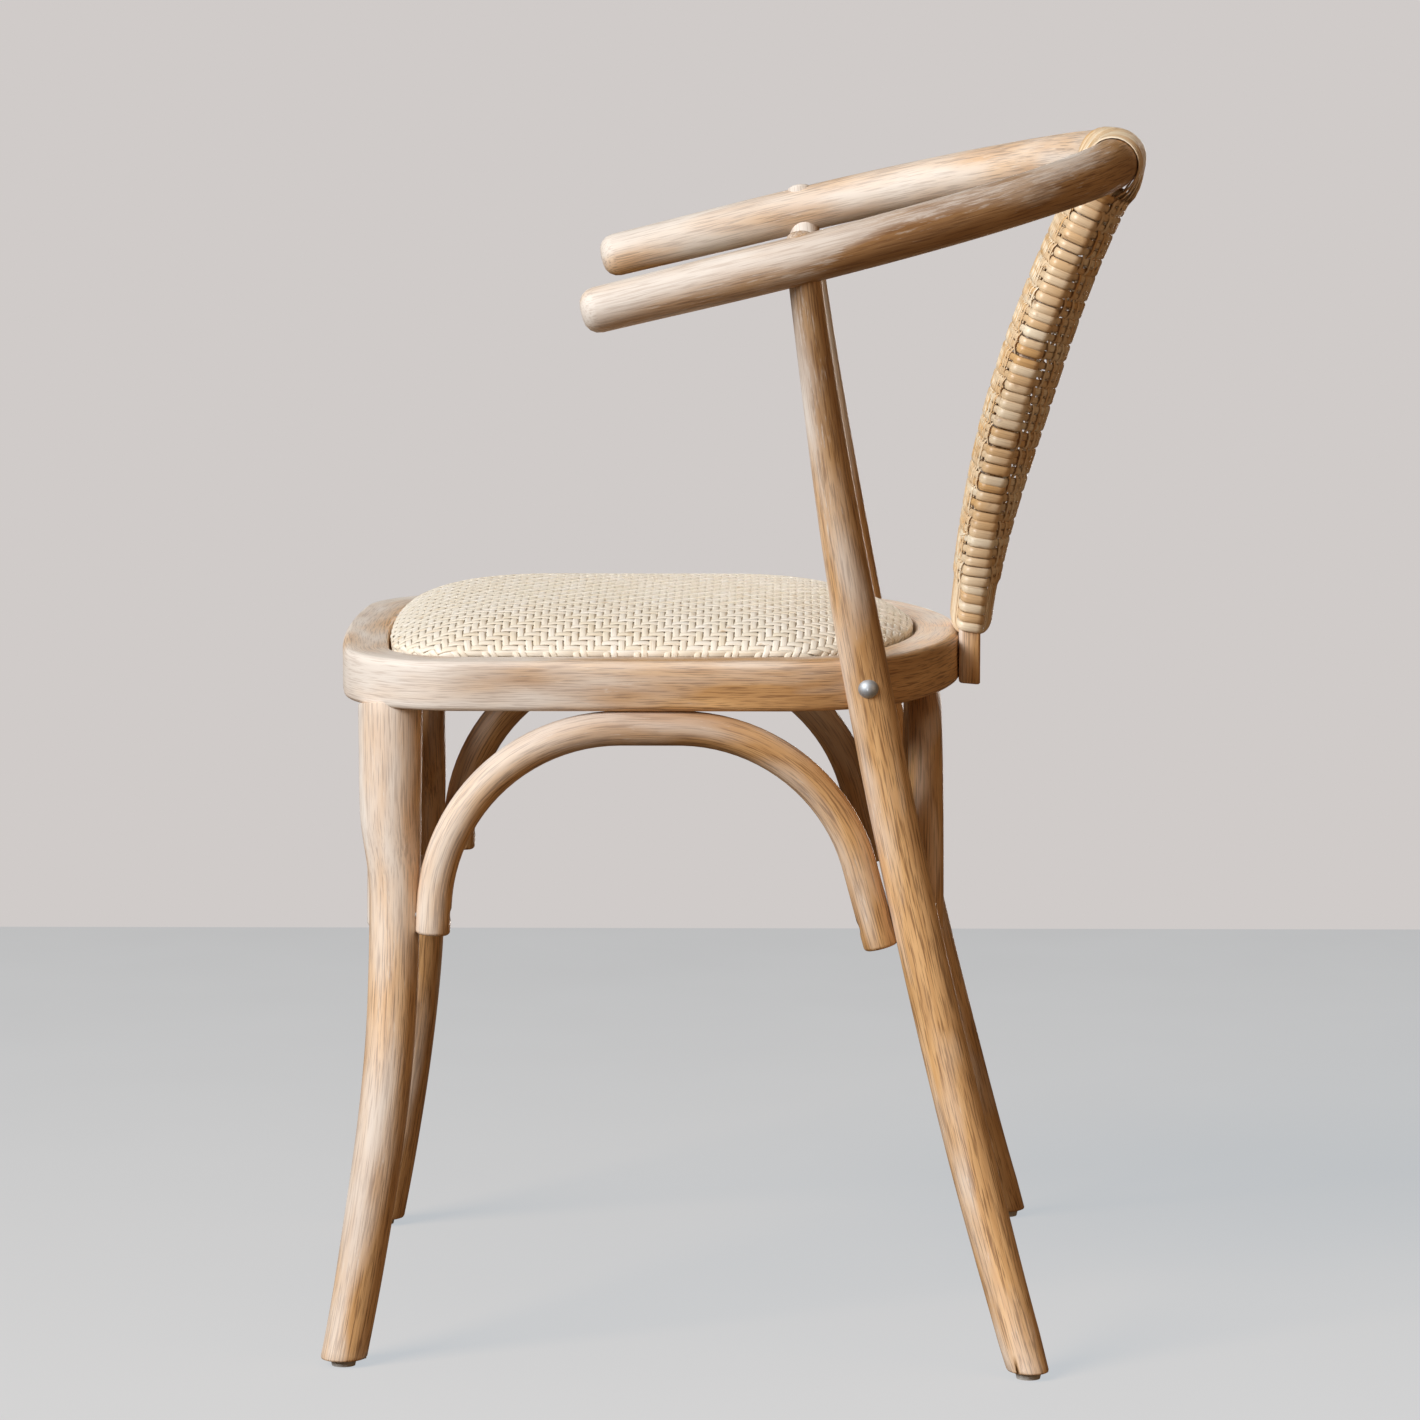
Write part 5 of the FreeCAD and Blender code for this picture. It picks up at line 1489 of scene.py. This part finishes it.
# Moulded polythene is milky and waxy, with scuffs about 2 mm across where it meets the floor.
place = add_node(tree, "ShaderNodeTexCoord")
scuff = add_node(tree, "ShaderNodeTexNoise", {"Vector": place.outputs["Object"], "Scale": 450.0, "Detail": 3.0})
glide_colour = add_node(
    tree, "ShaderNodeMix", {0: scuff.outputs[0], 6: linear("#A9A49C"), 7: linear("#CFCBC4")}, data_type="RGBA"
)
glide_rough = add_node(tree, "ShaderNodeMapRange", {"Value": scuff.outputs[0], "To Min": 0.4, "To Max": 0.65})
glide_skin = add_node(
    tree,
    "ShaderNodeBsdfPrincipled",
    {"Base Color": glide_colour.outputs[2], "Roughness": glide_rough.outputs[0], "IOR": 1.51},
)
add_node(tree, "ShaderNodeOutputMaterial", {"Surface": glide_skin.outputs[0]})
print(moulded_glide.name, len(tree.nodes), "nodes")

# %% Birch plywood
birch_ply, tree = new_material("rotary_cut_birch_plywood")
# Peeled veneer shows wild bands along the sheet, about 10 mm wide and 110 mm long, and a sanding haze.
place = add_node(tree, "ShaderNodeTexCoord")
stretch = add_node(
    tree, "ShaderNodeMapping", {"Vector": place.outputs["Object"], "Scale": (9.0, 95.0, 95.0)}
)
bands = add_node(
    tree, "ShaderNodeTexNoise", {"Vector": stretch.outputs[0], "Scale": 1.0, "Detail": 4.0, "Distortion": 0.6}
)
ply_colour = add_node(
    tree, "ShaderNodeMix", {0: bands.outputs[0], 6: linear("#B98F60"), 7: linear("#DDBF92")}, data_type="RGBA"
)
ply_rough = add_node(tree, "ShaderNodeMapRange", {"Value": bands.outputs[0], "To Min": 0.6, "To Max": 0.8})
ply_relief = add_node(tree, "ShaderNodeBump", {"Strength": 0.2, "Distance": 0.0003, "Height": bands.outputs[0]})
ply_skin = add_node(
    tree,
    "ShaderNodeBsdfPrincipled",
    {"Base Color": ply_colour.outputs[2], "Roughness": ply_rough.outputs[0], "Normal": ply_relief.outputs[0]},
)
add_node(tree, "ShaderNodeOutputMaterial", {"Surface": ply_skin.outputs[0]})
print(birch_ply.name, len(tree.nodes), "nodes")

# %% Finish the CAD nodes that stay
finishes = {
    "seat_board": birch_ply,
    "foot_glides": moulded_glide,
    "post_bolts": zinc_plate,
    "post_bolt_inserts": zinc_plate,
    "seat_screws": zinc_plate,
    "brace_end_screws": zinc_plate,
    "brace_top_screws": zinc_plate,
    "splat_foot_screws": zinc_plate,
}
for node, finish in finishes.items():
    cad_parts[node].data.materials.clear()
    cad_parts[node].data.materials.append(finish)
print("CAD nodes with new finishes:", len(finishes))
